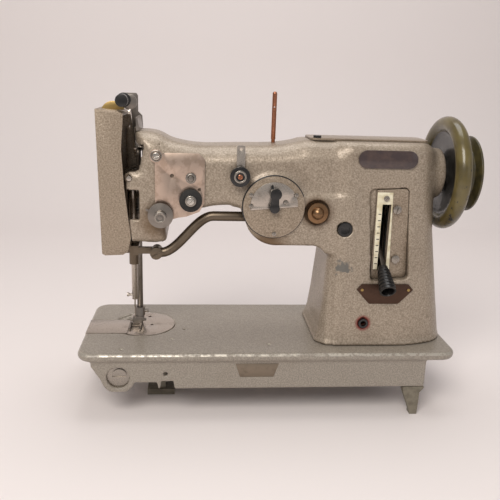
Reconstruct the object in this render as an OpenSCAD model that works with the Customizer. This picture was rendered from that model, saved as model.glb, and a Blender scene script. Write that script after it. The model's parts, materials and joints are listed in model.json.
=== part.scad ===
// Flat-bed zigzag sewing machine, in millimetres.
// Working axes: X runs along the bed from its left end, Y back from its front edge, Z up from its top.
// place() moves them so that the origin is under the middle of the machine, on the surface it stands on.

/* [Bed] */
// Length of the bed plate
bed_l = 476; // [450:1:580]
// Width of the bed plate, front to rear
bed_w = 178; // [170:1:220]
// Thickness of the bed plate
bed_t = 11; // [8:0.5:14]
// Corner radius of the bed plate
bed_corner_r = 20; // [12:1:26]
// Depth of the cast rail below the top of the bed
rail_h = 48.2; // [44:0.1:56]
// Wall thickness of the bed casting
bed_wall = 7; // [5:0.5:9]
// Height of the bed top above the surface that the machine stands on
stand_h = 87.4; // [80:0.1:110]

/* [Column and arm] */
// Height of the arm shaft above the bed
shaft_z = 215.6; // [200:0.1:262]
// Length of the column at its base
column_l = 174; // [160:1:190]
// Width of the column at its base, front to rear
column_w = 130; // [120:1:140]
// Width of the arm, front to rear
arm_w = 86; // [80:1:98]
// Wall thickness of the arm casting
arm_wall = 7; // [5:0.5:9]
// Thickness of the top cover
cover_t = 2.5; // [2:0.5:5]

/* [Head] */
// Distance of the needle from the left end of the bed
needle_x = 63.5; // [60:0.5:70]
// Thickness of the face cover's sheet
sheet_t = 2; // [1.2:0.2:3]
// Radius of the pins that the head's levers turn on
pivot_r = 3; // [2.4:0.1:3.6]

/* [Shafts and wheel] */
// Radius of the arm shaft
shaft_r = 8; // [6.5:0.5:10]
// Radius of the lower shaft
lower_shaft_r = 6; // [5:0.5:7.5]
// Depth of the lower shaft below the top of the bed
lower_shaft_drop = 32; // [30:0.5:36]
// Radius of the handwheel to the middle of its rim
wheel_r = 62.6; // [58:0.1:72]
// Radius of the handwheel's round rim
rim_r = 10; // [8:0.5:12]
// Radius of the V-belt pulley's flanges
pulley_r = 48.5; // [44:0.5:56]
// Crank throw of the needle bar drive
crank_throw = 17; // [14:0.5:17]
// Radius of the smaller belt pulley, on the lower shaft
belt_pulley_r = 14; // [12:0.5:16]

/* [Needle and presser bars] */
// Radius of the needle bar
needle_bar_r = 3.6; // [3:0.1:4.4]
// Radius of the presser bar
presser_bar_r = 4; // [3.4:0.1:4.6]
// Radial clearance of every running fit
running_gap = 0.05; // [0.03:0.01:0.08]
// Radius of the needle plate
needle_plate_r = 40.7; // [36:0.1:44]

/* [Thread tension] */
// Radius of the main tension discs
disc_r = 15.2; // [12:0.1:17]
// Radius of the studs that carry the discs
stud_r = 3; // [2.4:0.1:3.6]
// Thickness of the tension plate
tension_plate_t = 2.5; // [1.5:0.5:4]

/* [Controls] */
// Radius of the dial cover
dial_r = 37.8; // [34:0.1:40]
// Radius of the stitch length lever's grip
grip_r = 6.2; // [5:0.2:7.5]
// Length of the stitch length lever's grip
grip_l = 37; // [32:1:40]
// Height of the thread pin above the arm
thread_pin_h = 62.5; // [55:0.5:80]
// Radius of the thread pin
thread_pin_r = 2.9; // [2:0.1:4]

/* [Hidden] */
$fn = 48;
eps = 0.01;
// room between a piece that turns or slides and the fixed pieces beside it
side_gap = 0.4;

mid_y = bed_w / 2;
arm_front = mid_y - arm_w / 2;
arm_rear = mid_y + arm_w / 2;
column_front = mid_y - column_w / 2;
column_rear = mid_y + column_w / 2;
column_x1 = bed_l - 2;
column_x0 = column_x1 - column_l;
// the front of the column leans back towards the arm, so its controls sit on this plane
column_face = arm_front - 4;
// the name plate sits lower, where the column is deeper
name_face = column_front + 7.4;
// the boss under the arm that carries the dial stands forward of the arm
dial_x = column_x0 - 62;
dial_z = shaft_z - 39.3;
boss_x = dial_x + 5;
boss_z = dial_z - 8.7;
boss_r = dial_r + 2.9;
boss_face = arm_front - 4;
arm_under = shaft_z - 42;
arm_top = shaft_z + 31;
column_top = shaft_z + 40.5;
head_top = shaft_z + 46.4;
head_under = shaft_z - 87.6;
head_x = 70;
head_x1 = 103;
wheel_x = column_x1 - 8.4;
pulley_x = wheel_x + 15;
pulley_t = 17;
overall_x1 = pulley_x + pulley_t + 7;

trunnion_z = shaft_z - 8.6;
bracket_z = head_under - 15;
stud_x = needle_x + 31;
link_y = arm_front + 15;
presser_x = needle_x + 5.5;
presser_y = mid_y + 14;
lifter_z = head_under + 24;
take_up_y = mid_y + 15;
take_up_z = shaft_z + 22.4;
knob_x = head_x - 13;
knob_z = head_top + 35.5;
cover_x0 = needle_x - 38;
cover_z0 = head_under - 17;
cover_z1 = shaft_z + 72;
cover_front = arm_front + 3;
cover_rear = arm_rear + 1;
hinge_x = needle_x + 3;
hinge_y = cover_rear + 3.5;
belt_x = column_x0 + 86;
belt_w = 14;
belt_t = 2;
upper_belt_pulley_r = 2 * belt_pulley_r;
hook_r = 20;
hook_x = needle_x + 10;
plate_x = needle_x + 11.4;
plate_y = mid_y + 11;
lever_x = column_x0 + 79;
lever_y = mid_y + 8;
lever_z = shaft_z - 70;
lever_rest = -36;
// places of the dial cover's screws from its middle
dial_screws = [[-28.5, 15], [-28.5, 1.5], [14, 6.5], [26.5, 15.8], [1, -33]];
position_x = dial_x + 53.6;
position_z = dial_z - 5.8;
plug_x = column_x0 + 28;
plug_z = shaft_z - 66;
oil_x = column_x0 + 57;
oil_z = 30;
badge_x = column_x0 + 76;
badge_z = shaft_z + 21.2;
name_x = column_x0 + 83.5;
name_z = shaft_z - 147.6;
slot_top = shaft_z - 34;
slot_bottom = shaft_z - 114;
panel_x = column_x0 + 85;
panel_z = shaft_z - 72.3;
panel_lean = -3.5;
main_x = 101;
main_z = shaft_z - 51;
thread_wheel_x = 137;
thread_wheel_z = shaft_z - 32;
pretension_x = 195.4;
pretension_z = shaft_z - 1.9;

paint = "#9d9582";
bed_paint = "#8f8a7c";
steel = "#b5b0a8";
dark_steel = "#4c4743";
black = "#1d1c1b";
bronze = "#8a6a3c";

// ---- shapes that repeat ----

module place() {
  translate([-overall_x1 / 2, -mid_y, stand_h]) children();
}

module rod_x(r, x0, x1, y, z) {
  translate([x0, y, z]) rotate([0, 90, 0]) cylinder(r = r, h = x1 - x0);
}

module rod_y(r, y0, y1, x, z) {
  translate([x, y1, z]) rotate([90, 0, 0]) cylinder(r = r, h = y1 - y0);
}

module rod_z(r, z0, z1, x, y) {
  translate([x, y, z0]) cylinder(r = r, h = z1 - z0);
}

module block(x0, x1, y0, y1, z0, z1) {
  translate([x0, y0, z0]) cube([x1 - x0, y1 - y0, z1 - z0]);
}

// a front-view outline, X and Z, made solid from y0 to y1
module slab(y0, y1) {
  translate([0, y1, 0]) rotate([90, 0, 0]) linear_extrude(y1 - y0) children();
}

// a side-view outline, Y and Z, made solid from x0 to x1
module slab_x(x0, x1) {
  translate([x0, 0, 0]) rotate([90, 0, 90]) linear_extrude(x1 - x0) children();
}

module round_rect(w, h, r) {
  square([w - 2 * r, h], center = true);
  square([w, h - 2 * r], center = true);
  for (sx = [-1, 1]) {
    for (sz = [-1, 1]) {
      translate([sx * (w / 2 - r), sz * (h / 2 - r)]) circle(r = r);
    }
  }
}

// a bar with round ends from a to b, in a flat outline
module link_shape(a, b, ra, rb) {
  d = b - a;
  l = norm(d);
  translate(a) circle(r = ra);
  translate(b) circle(r = rb);
  translate(a) rotate(atan2(d[1], d[0])) {
    polygon([[0, -ra * 0.9], [l, -rb * 0.9], [l, rb * 0.9], [0, ra * 0.9]]);
  }
}

// a screw head that faces the front, with its slot
module front_screw(r, x, y, z, head_h, turn) {
  difference() {
    rod_y(r, y - head_h, y, x, z);
    translate([x, y - head_h, z]) rotate([0, turn, 0]) cube([r * 0.3, head_h, 2 * r + 1], center = true);
  }
}

// ---- bed ----

module rail_outline(ring_bore) {
  ring_x = 49.8;
  ring_z = 15.5 - rail_h;
  notch_z = 9 - rail_h;
  difference() {
    union() {
      polygon([
        [17, -bed_t + 1], [17, -bed_t - 6], [33, ring_z - 10], [ring_x, ring_z - 18], [71, notch_z],
        [97.5, notch_z], [98.5, 0.6 - rail_h], [101, 0.6 - rail_h], [103, notch_z + 2], [110, -rail_h + 10],
        [117, notch_z + 2], [119, -rail_h], [bed_l - 38.5, -rail_h], [bed_l - 38.5, -bed_t + 1]
      ]);
      translate([ring_x, ring_z]) circle(r = 21);
    }
    translate([ring_x, ring_z]) circle(r = ring_bore);
    translate([107.7, -28]) circle(r = 2.8);
    translate([bed_l - 53, -29.5]) circle(r = 2.8);
  }
}

// the pocket that the blank number plate lies in
module serial_outline(grow) {
  x = bed_l / 2 - 17;
  polygon([
    [x - 27 - grow, -14.6 + grow], [x + 27 + grow, -14.6 + grow], [x + 21 + grow, -32.4 - grow],
    [x - 21 - grow, -32.4 - grow]
  ]);
}

module bed() {
  front = 4;
  rear = bed_w - 4;
  color(bed_paint) place() difference() {
    union() {
      difference() {
        translate([bed_l / 2, mid_y, -bed_t]) linear_extrude(bed_t) round_rect(bed_l, bed_w, bed_corner_r);
        block(column_x0 + 28, column_x1 - 32, mid_y - 34, mid_y + 34, -bed_t - 1, 1);
        rod_z(needle_plate_r - 5, -bed_t - 1, 1, plate_x, plate_y);
        rod_z(needle_plate_r + 0.3, -3, 1, plate_x, plate_y);
        block(-1, plate_x - 20, mid_y - 22, mid_y + 24, -3, 1);
        block(9, plate_x - 20, mid_y - 17, mid_y + 19, -bed_t - 1, 1);
        for (p = [[128.9, 80], [114.3, 47.5], [237.5, 30.4], [52.9, 16.5]]) {
          rod_z(2, -bed_t - 1, 1, p[0], p[1]);
        }
      }
      slab(front, front + bed_wall) rail_outline(14);
      slab(rear - bed_wall, rear) rail_outline(5);
      block(bed_l - 38.5 - bed_wall, bed_l - 38.5, front, rear, -rail_h, -bed_t + 1);
      for (x = [150, belt_x + 28]) {
        block(x, x + 12, front, rear, -lower_shaft_drop - 14, -bed_t + 1);
      }
    }
    for (x = [150, belt_x + 28]) {
      rod_x(lower_shaft_r + 3, x - 1, x + 13, mid_y, -lower_shaft_drop);
    }
    slab(front - 1, front + 1.2) serial_outline(0.3);
    rod_y(5, rear - bed_wall - 1, rear + 1, bed_l - 60, 15.5 - rail_h);
  }
}

// a cast foot under each end of the right-hand rail
module foot_outline() {
  x = bed_l - 52;
  polygon([
    [x - 13.5, -rail_h], [x - 13.5, -rail_h - 6], [x - 2, -stand_h + 4], [x - 2, -stand_h],
    [x + 7.6, -stand_h], [x + 8.5, -rail_h - 8], [x + 13.5, -rail_h - 2], [x + 13.5, -rail_h]
  ]);
}

module rest_feet() {
  color(bed_paint) place() {
    slab(4, 15) foot_outline();
    slab(bed_w - 15, bed_w - 4) foot_outline();
  }
}

// the eccentric stud in the round boss at the left of the rail
module hinge_stud() {
  z = 15.5 - rail_h;
  color(steel) place() difference() {
    union() {
      rod_y(13.98, 7, 10, 49.8, z);
      rod_y(9, 4.5, 7 + eps, 51.6, z + 3);
    }
    block(43, 60, 4, 5.6, z + 2, z + 4.4);
  }
}

module serial_badge() {
  color("#8b7f70") place() slab(4.2, 5.2 - eps) serial_outline(0);
}

// ---- arm casting ----

// outline of the head and arm in front view; its top falls from the head to the arm in half a cosine wave
module arm_outline() {
  step_x0 = 88;
  step_x1 = 140;
  polygon(concat(
    [[head_x - 12, head_under + 67], [head_x - 8, head_under], [head_x1, head_under]],
    [[head_x1 + 3, head_under + 16], [head_x1 + 16, head_under + 33], [head_x1 + 28, arm_under - 5]],
    [[head_x1 + 51, arm_under - 1.6], [head_x1 + 63, arm_under + 0.8], [dial_x - 50, arm_under + 1.6]],
    [[dial_x, arm_under - 6], [column_x0 + 30, arm_under - 6], [column_x0 + 30, column_top]],
    [[column_x0 - 18, column_top], [column_x0 - 27, column_top - 1], [column_x0 - 64, arm_top + 2.3]],
    [[step_x1 + 51, arm_top + 1]],
    [for (i = [10:-1:0]) [
      step_x0 + (step_x1 - step_x0) * i / 10,
      arm_top + (head_top - arm_top) * (0.5 + 0.5 * cos(18 * i))
    ]],
    [[head_x, head_top], [head_x, head_under + 92], [head_x - 12, head_under + 92]]
  ));
}

module boss_outline() {
  translate([boss_x, boss_z]) circle(r = boss_r);
  translate([dial_x, dial_z]) circle(r = dial_r + 1.2);
  translate([boss_x, boss_z - boss_r]) square([column_x0 + 40 - boss_x, boss_r + 20]);
  // the concave corner where the boss meets the column
  difference() {
    translate([column_x0 - 14, boss_z - boss_r - 22]) square([30, 24]);
    translate([column_x0 - 12, boss_z - boss_r - 20]) circle(r = 20);
    translate([column_x0 - 15, boss_z - boss_r - 42]) square([4, 42]);
  }
}

module column_outline() {
  z1 = boss_z - boss_r - 20;
  polygon([
    [column_x0 - 4, 0], [column_x0, 6], [column_x0 + 5, 46], [column_x0 + 10, z1], [column_x0 + 12, z1 + 40],
    [column_x0 + 12, column_top], [column_x1 - 41, column_top], [column_x1 - 32, column_top - 8],
    [column_x1 - 28, column_top - 21], [column_x1 - 24, 146], [column_x1 - 11.5, 60], [column_x1 - 2.5, 6],
    [column_x1 - 1, 0]
  ]);
}

// the column narrows upwards, front and rear alike
module column_side() {
  polygon([
    [column_front - 2, 0], [column_front + 1, 8], [column_face, dial_z], [arm_front - 1, column_top],
    [arm_rear + 1, column_top], [bed_w - column_face, dial_z], [column_rear - 1, 8], [column_rear + 2, 0]
  ]);
}

module column_cavity() {
  w = arm_w / 2 - arm_wall;
  intersection() {
    slab(mid_y - w, mid_y + w) polygon([
      [column_x0 + 18, -1], [column_x0 + 24, column_top - 8], [column_x1 - 48, column_top - 8],
      [column_x1 - 18, -1]
    ]);
    block(column_x0, column_x1, mid_y - w, mid_y + w, -1, column_top - 8);
  }
}

module arm_casting() {
  w = arm_w / 2 - arm_wall;
  inner_top = shaft_z + 20;
  color(paint) place() difference() {
    union() {
      slab(arm_front, arm_rear) arm_outline();
      // rear wall of the head, behind the needle bar
      block(needle_x - 11.5, head_x + 1, arm_rear - arm_wall, arm_rear - 1.6, head_under, head_top);
      slab(boss_face, arm_rear) boss_outline();
      intersection() {
        slab(column_front - 4, column_rear + 4) column_outline();
        slab_x(column_x0 - 10, column_x1 + 2) column_side();
      }
      // round boss around the shaft on the wheel side
      rod_x(32, column_x1 - 50, column_x1 - 17, mid_y, shaft_z);
    }
    column_cavity();
    block(column_x0 + 27, column_x1 - 51, mid_y - 20.5, mid_y + 20.5, column_top - 9, column_top + 1);
    // tunnel for the arm shaft
    block(head_x1 + 22, column_x0 + 40, mid_y - w, mid_y + w, shaft_z - 30, inner_top);
    // the head is open to the left and below, where the face cover and the bars go
    block(head_x - 20, head_x1 - 2, mid_y - w, mid_y + w, head_under - 1, head_top - 8);
    rod_x(shaft_r + 3, head_x1 - 3, head_x1 + 23, mid_y, shaft_z);
    rod_x(shaft_r + 4, column_x1 - 60, column_x1 - 16, mid_y, shaft_z);
    // hollow behind the dial, where the zigzag drive sits
    rod_y(boss_r - 10, boss_face + 18, arm_rear - arm_wall, boss_x, boss_z);
    // window in the front of the head, where the needle bar shows
    block(head_x - 20, head_x + 5, arm_front - 1, arm_front + arm_wall + 1, head_under + 29, head_under + 65);
    // clear the sheet of the face cover
    block(head_x - 20, cover_x0 + 34, arm_front - 1, arm_rear - arm_wall, head_under - 1, head_top);
    block(head_x - 20, needle_x + 1.3, arm_rear - 1.6, arm_rear + 1, head_under - 1, head_top);
    slab(arm_front - 1, arm_front + arm_wall + 1) polygon([
      [head_x - 20, head_under - 1], [needle_x + 1.3, head_under - 1], [needle_x + 1.3, head_under + 5],
      [needle_x - 5.7, shaft_z - 20], [head_x - 20, shaft_z - 20]
    ]);
    // pocket behind the dial for the end of the zigzag link
    block(boss_x - 48, boss_x - 22, arm_front + 1, arm_front + 29, bracket_z + 36, bracket_z + 59);
    // opening for the stitch length lever
    block(lever_x - 5.4, lever_x + 5.4, column_front - 5, mid_y, slot_bottom - 6, slot_top);
    slab(column_front - 5, column_face + 4) panel_outline(0.5);
    rod_x(pivot_r + 0.05, column_x0 + 16, column_x0 + 30, lever_y, lever_z);
    // studs of the dial lever and the knobs
    rod_y(stud_r + running_gap, boss_face - 1, boss_face + 12, dial_x, dial_z);
    rod_y(stud_r + running_gap, boss_face - 1, boss_face + 16, position_x, position_z);
    rod_y(15, boss_face - 1, boss_face + 3, position_x, position_z);
    // seats of the plug, the oil ring, the badge and the name plate
    rod_y(9.05, column_front - 5, column_face + 3.02, plug_x, plug_z);
    rod_y(6.05, column_front - 5, column_front + 6.02, oil_x, oil_z);
    rod_y(3.6, column_front, column_front + 14, oil_x, oil_z);
    slab(column_front - 5, arm_front - 1.98) badge_outline(11.1);
    slab(column_front - 5, name_face + 0.02) name_outline(1.015);
    for (p = [[main_x, main_z], [thread_wheel_x, thread_wheel_z], [pretension_x, pretension_z]]) {
      rod_y(stud_r + 0.05, arm_front - 1, arm_front + 10, p[0], p[1]);
    }
    // pins of the needle frame and of the face cover's hinge
    for (y = [arm_front - 1, arm_rear - arm_wall - 3]) {
      rod_y(pivot_r + 0.05, y, y + arm_wall + 4, needle_x, trunnion_z);
    }
    // hole of the presser lifter's shaft
    rod_y(4 + running_gap, arm_rear - arm_wall - 3, arm_rear + 1, presser_x + 22, lifter_z);
    rod_z(thread_pin_r - 0.45, arm_top - 10, arm_top + 10, dial_x + 2, mid_y + 6);
  }
  // lugs inside the head that guide the presser bar
  color(paint) place() for (z = [head_under + 2, head_under + 52]) {
    difference() {
      block(presser_x - 7, head_x1 - 2 + eps, presser_y - 5.5, arm_rear - arm_wall + eps, z, z + 11);
      rod_z(presser_bar_r + running_gap, z - 1, z + 12, presser_x, presser_y);
    }
  }
}

module top_cover() {
  x0 = column_x0 - 17;
  x1 = column_x1 - 41;
  color(paint) place() difference() {
    union() {
      translate([(x0 + x1) / 2, mid_y, column_top + 0.05]) linear_extrude(cover_t) round_rect(x1 - x0, 50, 8);
      block(column_x0 + 28, column_x1 - 52, mid_y - 20, mid_y + 20, column_top - 4, column_top + 1);
    }
    block(column_x0 + 31, column_x1 - 55, mid_y - 17, mid_y + 17, column_top - 5, column_top + 1);
  }
}

// a black oil cap on the top cover and a plug in the front of the column
module oil_caps() {
  color(black) place() {
    rod_z(5, column_top + cover_t + 0.05, column_top + cover_t + 3, column_x0 - 8, mid_y - 18);
    difference() {
      rod_y(9, column_face - 3, column_face + 3, plug_x, plug_z);
      rod_y(5.5, column_face - 4, column_face - 1.5, plug_x, plug_z);
    }
    difference() {
      rod_y(6, column_front + 1.5, column_front + 6, oil_x, oil_z);
      rod_y(3.6, column_front, column_front + 7, oil_x, oil_z);
    }
  }
}

// ---- badges ----

module badge_outline(r) {
  translate([badge_x - 26, badge_z]) circle(r = r);
  translate([badge_x + 26, badge_z]) circle(r = r);
  translate([badge_x, badge_z]) square([52, 2 * r], center = true);
}

module brand_badge() {
  color("#5a4742") place() slab(arm_front - 4, arm_front - 2) badge_outline(10.8);
}

module name_outline(grow) {
  translate([name_x, name_z]) scale(grow) polygon([
    [-37, 6], [-31, 13.4], [29, 13.4], [36, 6], [18, -13], [-20, -13]
  ]);
}

module name_plate() {
  color("#6b5141") place() slab(name_face - 1, name_face) name_outline(1);
}

// heads of the brass drive pins that hold the name plate
module plate_rivets() {
  color("#b09468") place() {
    for (dx = [-30.3, 29.7]) {
      rod_y(1.8, name_face - 1.8, name_face - 1 - eps, name_x + dx, name_z + 5.9);
    }
  }
}

// slotted screws of the dial cover and of the stitch length panel
module cover_screws() {
  color(steel) place() {
    for (p = dial_screws) {
      front_screw(2.6, dial_x + p[0], boss_face - 3.02, dial_z + p[1], 2.2, 20);
    }
    front_screw(5.2, panel_x + 7.2, column_face + 0.98, panel_z + 32, 3, 15);
    front_screw(5.2, panel_x + 11, column_face + 0.98, panel_z - 32, 3, -40);
    front_screw(3.6, lever_x - 1.5, column_face - 0.42, slot_top + 7.5, 1.6, 30);
  }
}

// ---- dial ----

module dial_cover() {
  color(paint) place() difference() {
    rod_y(dial_r, boss_face - 3, boss_face - 0.02, dial_x, dial_z);
    rod_y(stud_r + side_gap, boss_face - 4, boss_face + 1, dial_x, dial_z);
  }
}

module width_scale_plate() {
  r = 29;
  color("#b9b2a2") place() slab(boss_face - 4, boss_face - 3.02) difference() {
    intersection() {
      translate([dial_x, dial_z + 2]) circle(r = r);
      translate([dial_x - r - 4, dial_z - 4]) rotate(5) square([2 * r + 8, 2 * r]);
    }
    translate([dial_x, dial_z]) circle(r = stud_r + side_gap);
    for (p = dial_screws) {
      translate([dial_x + p[0], dial_z + p[1]]) circle(r = 3);
    }
  }
}

// lever that sets the width of the stitch, with a black knob near its end
module width_lever() {
  y = boss_face - 4;
  color(black) place() {
    rod_y(stud_r, y - 5, y + 14, dial_x, dial_z);
    slab(y - 6, y - side_gap) {
      link_shape([dial_x, dial_z], [dial_x, dial_z + 18.6], 6, 5);
      link_shape([dial_x, dial_z], [dial_x - 4, dial_z + 27], 3, 1.6);
    }
    rod_y(6.8, y - 15, y - 6 + eps, dial_x, dial_z + 18.6);
  }
}

module position_knob() {
  x = position_x;
  z = position_z;
  y = boss_face;
  color("#86705a") place() {
    rod_y(stud_r, y - 5, y + 15, x, z);
    rod_y(12.6, y - 7, y + 3 - side_gap, x, z);
    translate([x, y - 6, z]) intersection() {
      sphere(r = 8);
      translate([-9, -9, -9]) cube([18, 9, 18]);
    }
  }
}

// ---- stitch length ----

module panel_outline(grow) {
  translate([panel_x, panel_z]) rotate(-panel_lean) round_rect(47 + 2 * grow, 114 + 2 * grow, 5);
}

// flat plate at the bottom of the column's pocket
module length_panel() {
  color(paint) place() difference() {
    slab(column_face + 1, column_face + 3.98) panel_outline(0);
    block(panel_x - 40, lever_x - 13, column_face, column_face + 5, slot_bottom - 20, slot_top + 30);
    block(lever_x - 5.4, lever_x + 5.4, column_face, column_face + 5, slot_bottom - 6, slot_top);
  }
}

// cream scale with the slot that the lever runs in
module length_scale_plate() {
  color("#d8d0b4") place() difference() {
    slab(column_face - 0.4, column_face + 0.98) polygon([
      [lever_x - 13, slot_top + 15], [lever_x + 6.6, slot_top + 15], [lever_x + 10.2, slot_bottom - 4],
      [lever_x - 11, slot_bottom - 4]
    ]);
    block(lever_x - 5.6, lever_x + 5.6, column_face - 1, column_face + 2, slot_bottom - 5, slot_top);
  }
}

// flat lever inside the column; it turns on a pin across the column
module length_lever() {
  color(dark_steel) place() translate([0, lever_y, lever_z]) rotate([-lever_rest, 0, 0]) difference() {
    union() {
      rod_x(7, lever_x - 3, lever_x + 3, 0, 0);
      block(lever_x - 2.5, lever_x + 2.5, -75, 0, -4, 4);
      translate([lever_x, -85, 0]) rotate([-90, 0, 0]) cylinder(r = 3, h = 12);
    }
    rod_x(pivot_r + running_gap, lever_x - 4, lever_x + 4, 0, 0);
  }
}

// hollow black grip pushed on the end of the lever
module length_lever_grip() {
  color(black) place() translate([0, lever_y, lever_z]) rotate([-lever_rest, 0, 0]) {
    translate([lever_x, -75.02, 0]) rotate([90, 0, 0]) difference() {
      union() {
        cylinder(r1 = grip_r, r2 = grip_r + 4, h = grip_l);
        for (h = [6:5:grip_l - 6]) {
          translate([0, 0, h]) cylinder(r = grip_r + 0.9 + 4 * h / grip_l, h = 2.2);
        }
      }
      translate([0, 0, -1]) cylinder(r = 3.02, h = 12);
      translate([0, 0, 14]) cylinder(r1 = grip_r - 0.8, r2 = grip_r + 1.8, h = grip_l - 13.9);
    }
  }
}

// ---- wheel and shafts ----

module handwheel() {
  color("#7f6f3a") place() translate([wheel_x, mid_y, shaft_z]) rotate([0, 90, 0]) {
    rotate_extrude() translate([wheel_r, 0]) circle(r = rim_r);
    difference() {
      union() {
        translate([0, 0, -2]) cylinder(r = wheel_r - rim_r + 1, h = 6);
        translate([0, 0, -7]) cylinder(r = 18, h = 21.9);
      }
      translate([0, 0, -13]) cylinder(r = shaft_r + 0.02, h = 60);
    }
  }
}

// V-belt pulley on the outer side of the wheel
module drive_pulley() {
  color(dark_steel) place() translate([pulley_x, mid_y, shaft_z]) rotate([0, 90, 0]) difference() {
    rotate_extrude() polygon([
      [shaft_r + 0.02, 0], [pulley_r, 0], [pulley_r, 2.5], [pulley_r - 11, 6.5], [pulley_r - 11, 10.5],
      [pulley_r, 14.5], [pulley_r, pulley_t], [pulley_r - 6, pulley_t], [pulley_r - 14, pulley_t - 3],
      [shaft_r + 0.02, pulley_t - 3]
    ]);
  }
}

module handwheel_nut() {
  color(steel) place() translate([pulley_x + pulley_t - 3, mid_y, shaft_z]) rotate([0, 90, 0]) {
    cylinder(r = 15, h = 6);
    translate([0, 0, 5]) cylinder(r = 10, h = 5);
  }
}

module arm_shaft() {
  color(steel) place() rod_x(shaft_r, head_x1 - 13, pulley_x + pulley_t - 3, mid_y, shaft_z);
}

module bushing(x0, x1, r, wall, z) {
  difference() {
    rod_x(r + wall, x0, x1, mid_y, z);
    rod_x(r + running_gap, x0 - 1, x1 + 1, mid_y, z);
  }
}

module arm_shaft_bushings() {
  color(bronze) place() {
    bushing(head_x1 - 2, head_x1 + 22, shaft_r, 3, shaft_z);
    bushing(column_x1 - 50, column_x1 - 17.02, shaft_r, 4, shaft_z);
  }
}

module belt_wheel(r, bore, z) {
  difference() {
    union() {
      rod_x(r, belt_x, belt_x + belt_w, mid_y, z);
      rod_x(r + 3.5, belt_x - 2, belt_x + side_gap, mid_y, z);
      rod_x(bore + 6, belt_x + belt_w - 1, belt_x + belt_w + 9, mid_y, z);
    }
    rod_x(bore + 0.02, belt_x - 3, belt_x + belt_w + 10, mid_y, z);
  }
}

module upper_belt_pulley() {
  color("#8e8a84") place() belt_wheel(upper_belt_pulley_r, shaft_r, shaft_z);
}

module lower_belt_pulley() {
  color("#8e8a84") place() belt_wheel(belt_pulley_r, lower_shaft_r, -lower_shaft_drop);
}

// crank disc on the end of the arm shaft, heavy on the side away from its pin
module crank_counterweight() {
  x = head_x1 - 19;
  color(dark_steel) place() {
    difference() {
      rod_x(22, x, x + 12, mid_y, shaft_z);
      block(x - 1, x + 6, mid_y - 23, mid_y + 23, shaft_z + 8, shaft_z + 24);
      rod_x(shaft_r + 0.02, x + 5, x + 13, mid_y, shaft_z);
    }
    rod_x(4, x - 8, x + 6 + eps, mid_y, shaft_z + crank_throw);
  }
}

// outline of the flat belt around both pulleys; the straight runs touch both circles
module belt_outline(grow) {
  r1 = upper_belt_pulley_r + side_gap + grow;
  r0 = belt_pulley_r + side_gap + grow;
  lean = asin((r1 - r0) / (shaft_z + lower_shaft_drop));
  polygon(concat(
    [for (i = [0:32]) let (a = -lean + (180 + 2 * lean) * i / 32) [mid_y + r1 * cos(a), shaft_z + r1 * sin(a)]],
    [for (i = [0:24]) let (a = 180 + lean + (180 - 2 * lean) * i / 24) [
      mid_y + r0 * cos(a), -lower_shaft_drop + r0 * sin(a)
    ]]
  ));
}

module timing_belt() {
  color(black) place() difference() {
    slab_x(belt_x + 1, belt_x + belt_w - 1) belt_outline(belt_t);
    slab_x(belt_x, belt_x + belt_w) belt_outline(0);
  }
}

module lower_shaft() {
  color(steel) place() rod_x(lower_shaft_r, hook_x + 9, belt_x + 42, mid_y, -lower_shaft_drop);
}

module lower_shaft_bushings() {
  color(bronze) place() for (x = [150, belt_x + 28]) {
    bushing(x - 1, x + 13, lower_shaft_r, 3, -lower_shaft_drop);
  }
}

// ---- hook and feed ----

// bracket under the bed that carries the hook's end of the lower shaft and stands on its own foot
module hook_bracket() {
  x = hook_x + 21;
  color("#7a7468") place() difference() {
    union() {
      block(x, x + 10, mid_y - 22, mid_y + 22, -stand_h + 8, -bed_t - 0.02);
      block(x - 14, x + 22, mid_y - 26, mid_y + 26, -stand_h, -stand_h + 8);
      block(x, x + 10, mid_y - 62, mid_y + 62, -bed_t - 8, -bed_t - 0.02);
      rod_x(14, x - 4, x + 14, mid_y, -lower_shaft_drop);
    }
    rod_x(lower_shaft_r + running_gap, x - 5, x + 15, mid_y, -lower_shaft_drop);
    rod_y(3, mid_y - 40, mid_y - 24, x + 5, -stand_h + 14);
  }
}

// cup that turns around the bobbin case, with its point and its gap
module rotary_hook() {
  color(steel) place() translate([hook_x, mid_y, -lower_shaft_drop]) rotate([0, 90, 0]) difference() {
    union() {
      translate([0, 0, 1]) cylinder(r = hook_r, h = 10);
      translate([0, 0, 10]) cylinder(r = 11, h = 7);
    }
    translate([0, 0, -1]) cylinder(r = hook_r - 3, h = 9);
    translate([0, 0, 9]) cylinder(r = lower_shaft_r + 0.02, h = 9);
    rotate([0, 0, 25]) translate([hook_r - 6, -7, -1]) cube([10, 14, 7]);
  }
}

module bobbin_case() {
  color("#a5a19a") place() {
    translate([hook_x, mid_y, -lower_shaft_drop]) rotate([0, 90, 0]) difference() {
      cylinder(r = hook_r - 4.5, h = 7.2);
      translate([0, 0, -1]) cylinder(r = 3, h = 6);
      translate([4, -2, -1]) cube([9, 4, 2.2]);
    }
    // finger that stops the case from turning, fixed to the bed beside the hook
    block(hook_x - 2, hook_x + 0.5, mid_y - 30, mid_y - 8, -lower_shaft_drop - 3, -lower_shaft_drop + 3);
    block(hook_x - 2, hook_x + 14, mid_y - 30, mid_y - 24, -lower_shaft_drop - 3, -lower_shaft_drop + 3);
    block(hook_x + 4, hook_x + 14, mid_y - 34, mid_y - 24, -lower_shaft_drop - 3, -bed_t - 0.02);
  }
}

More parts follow.
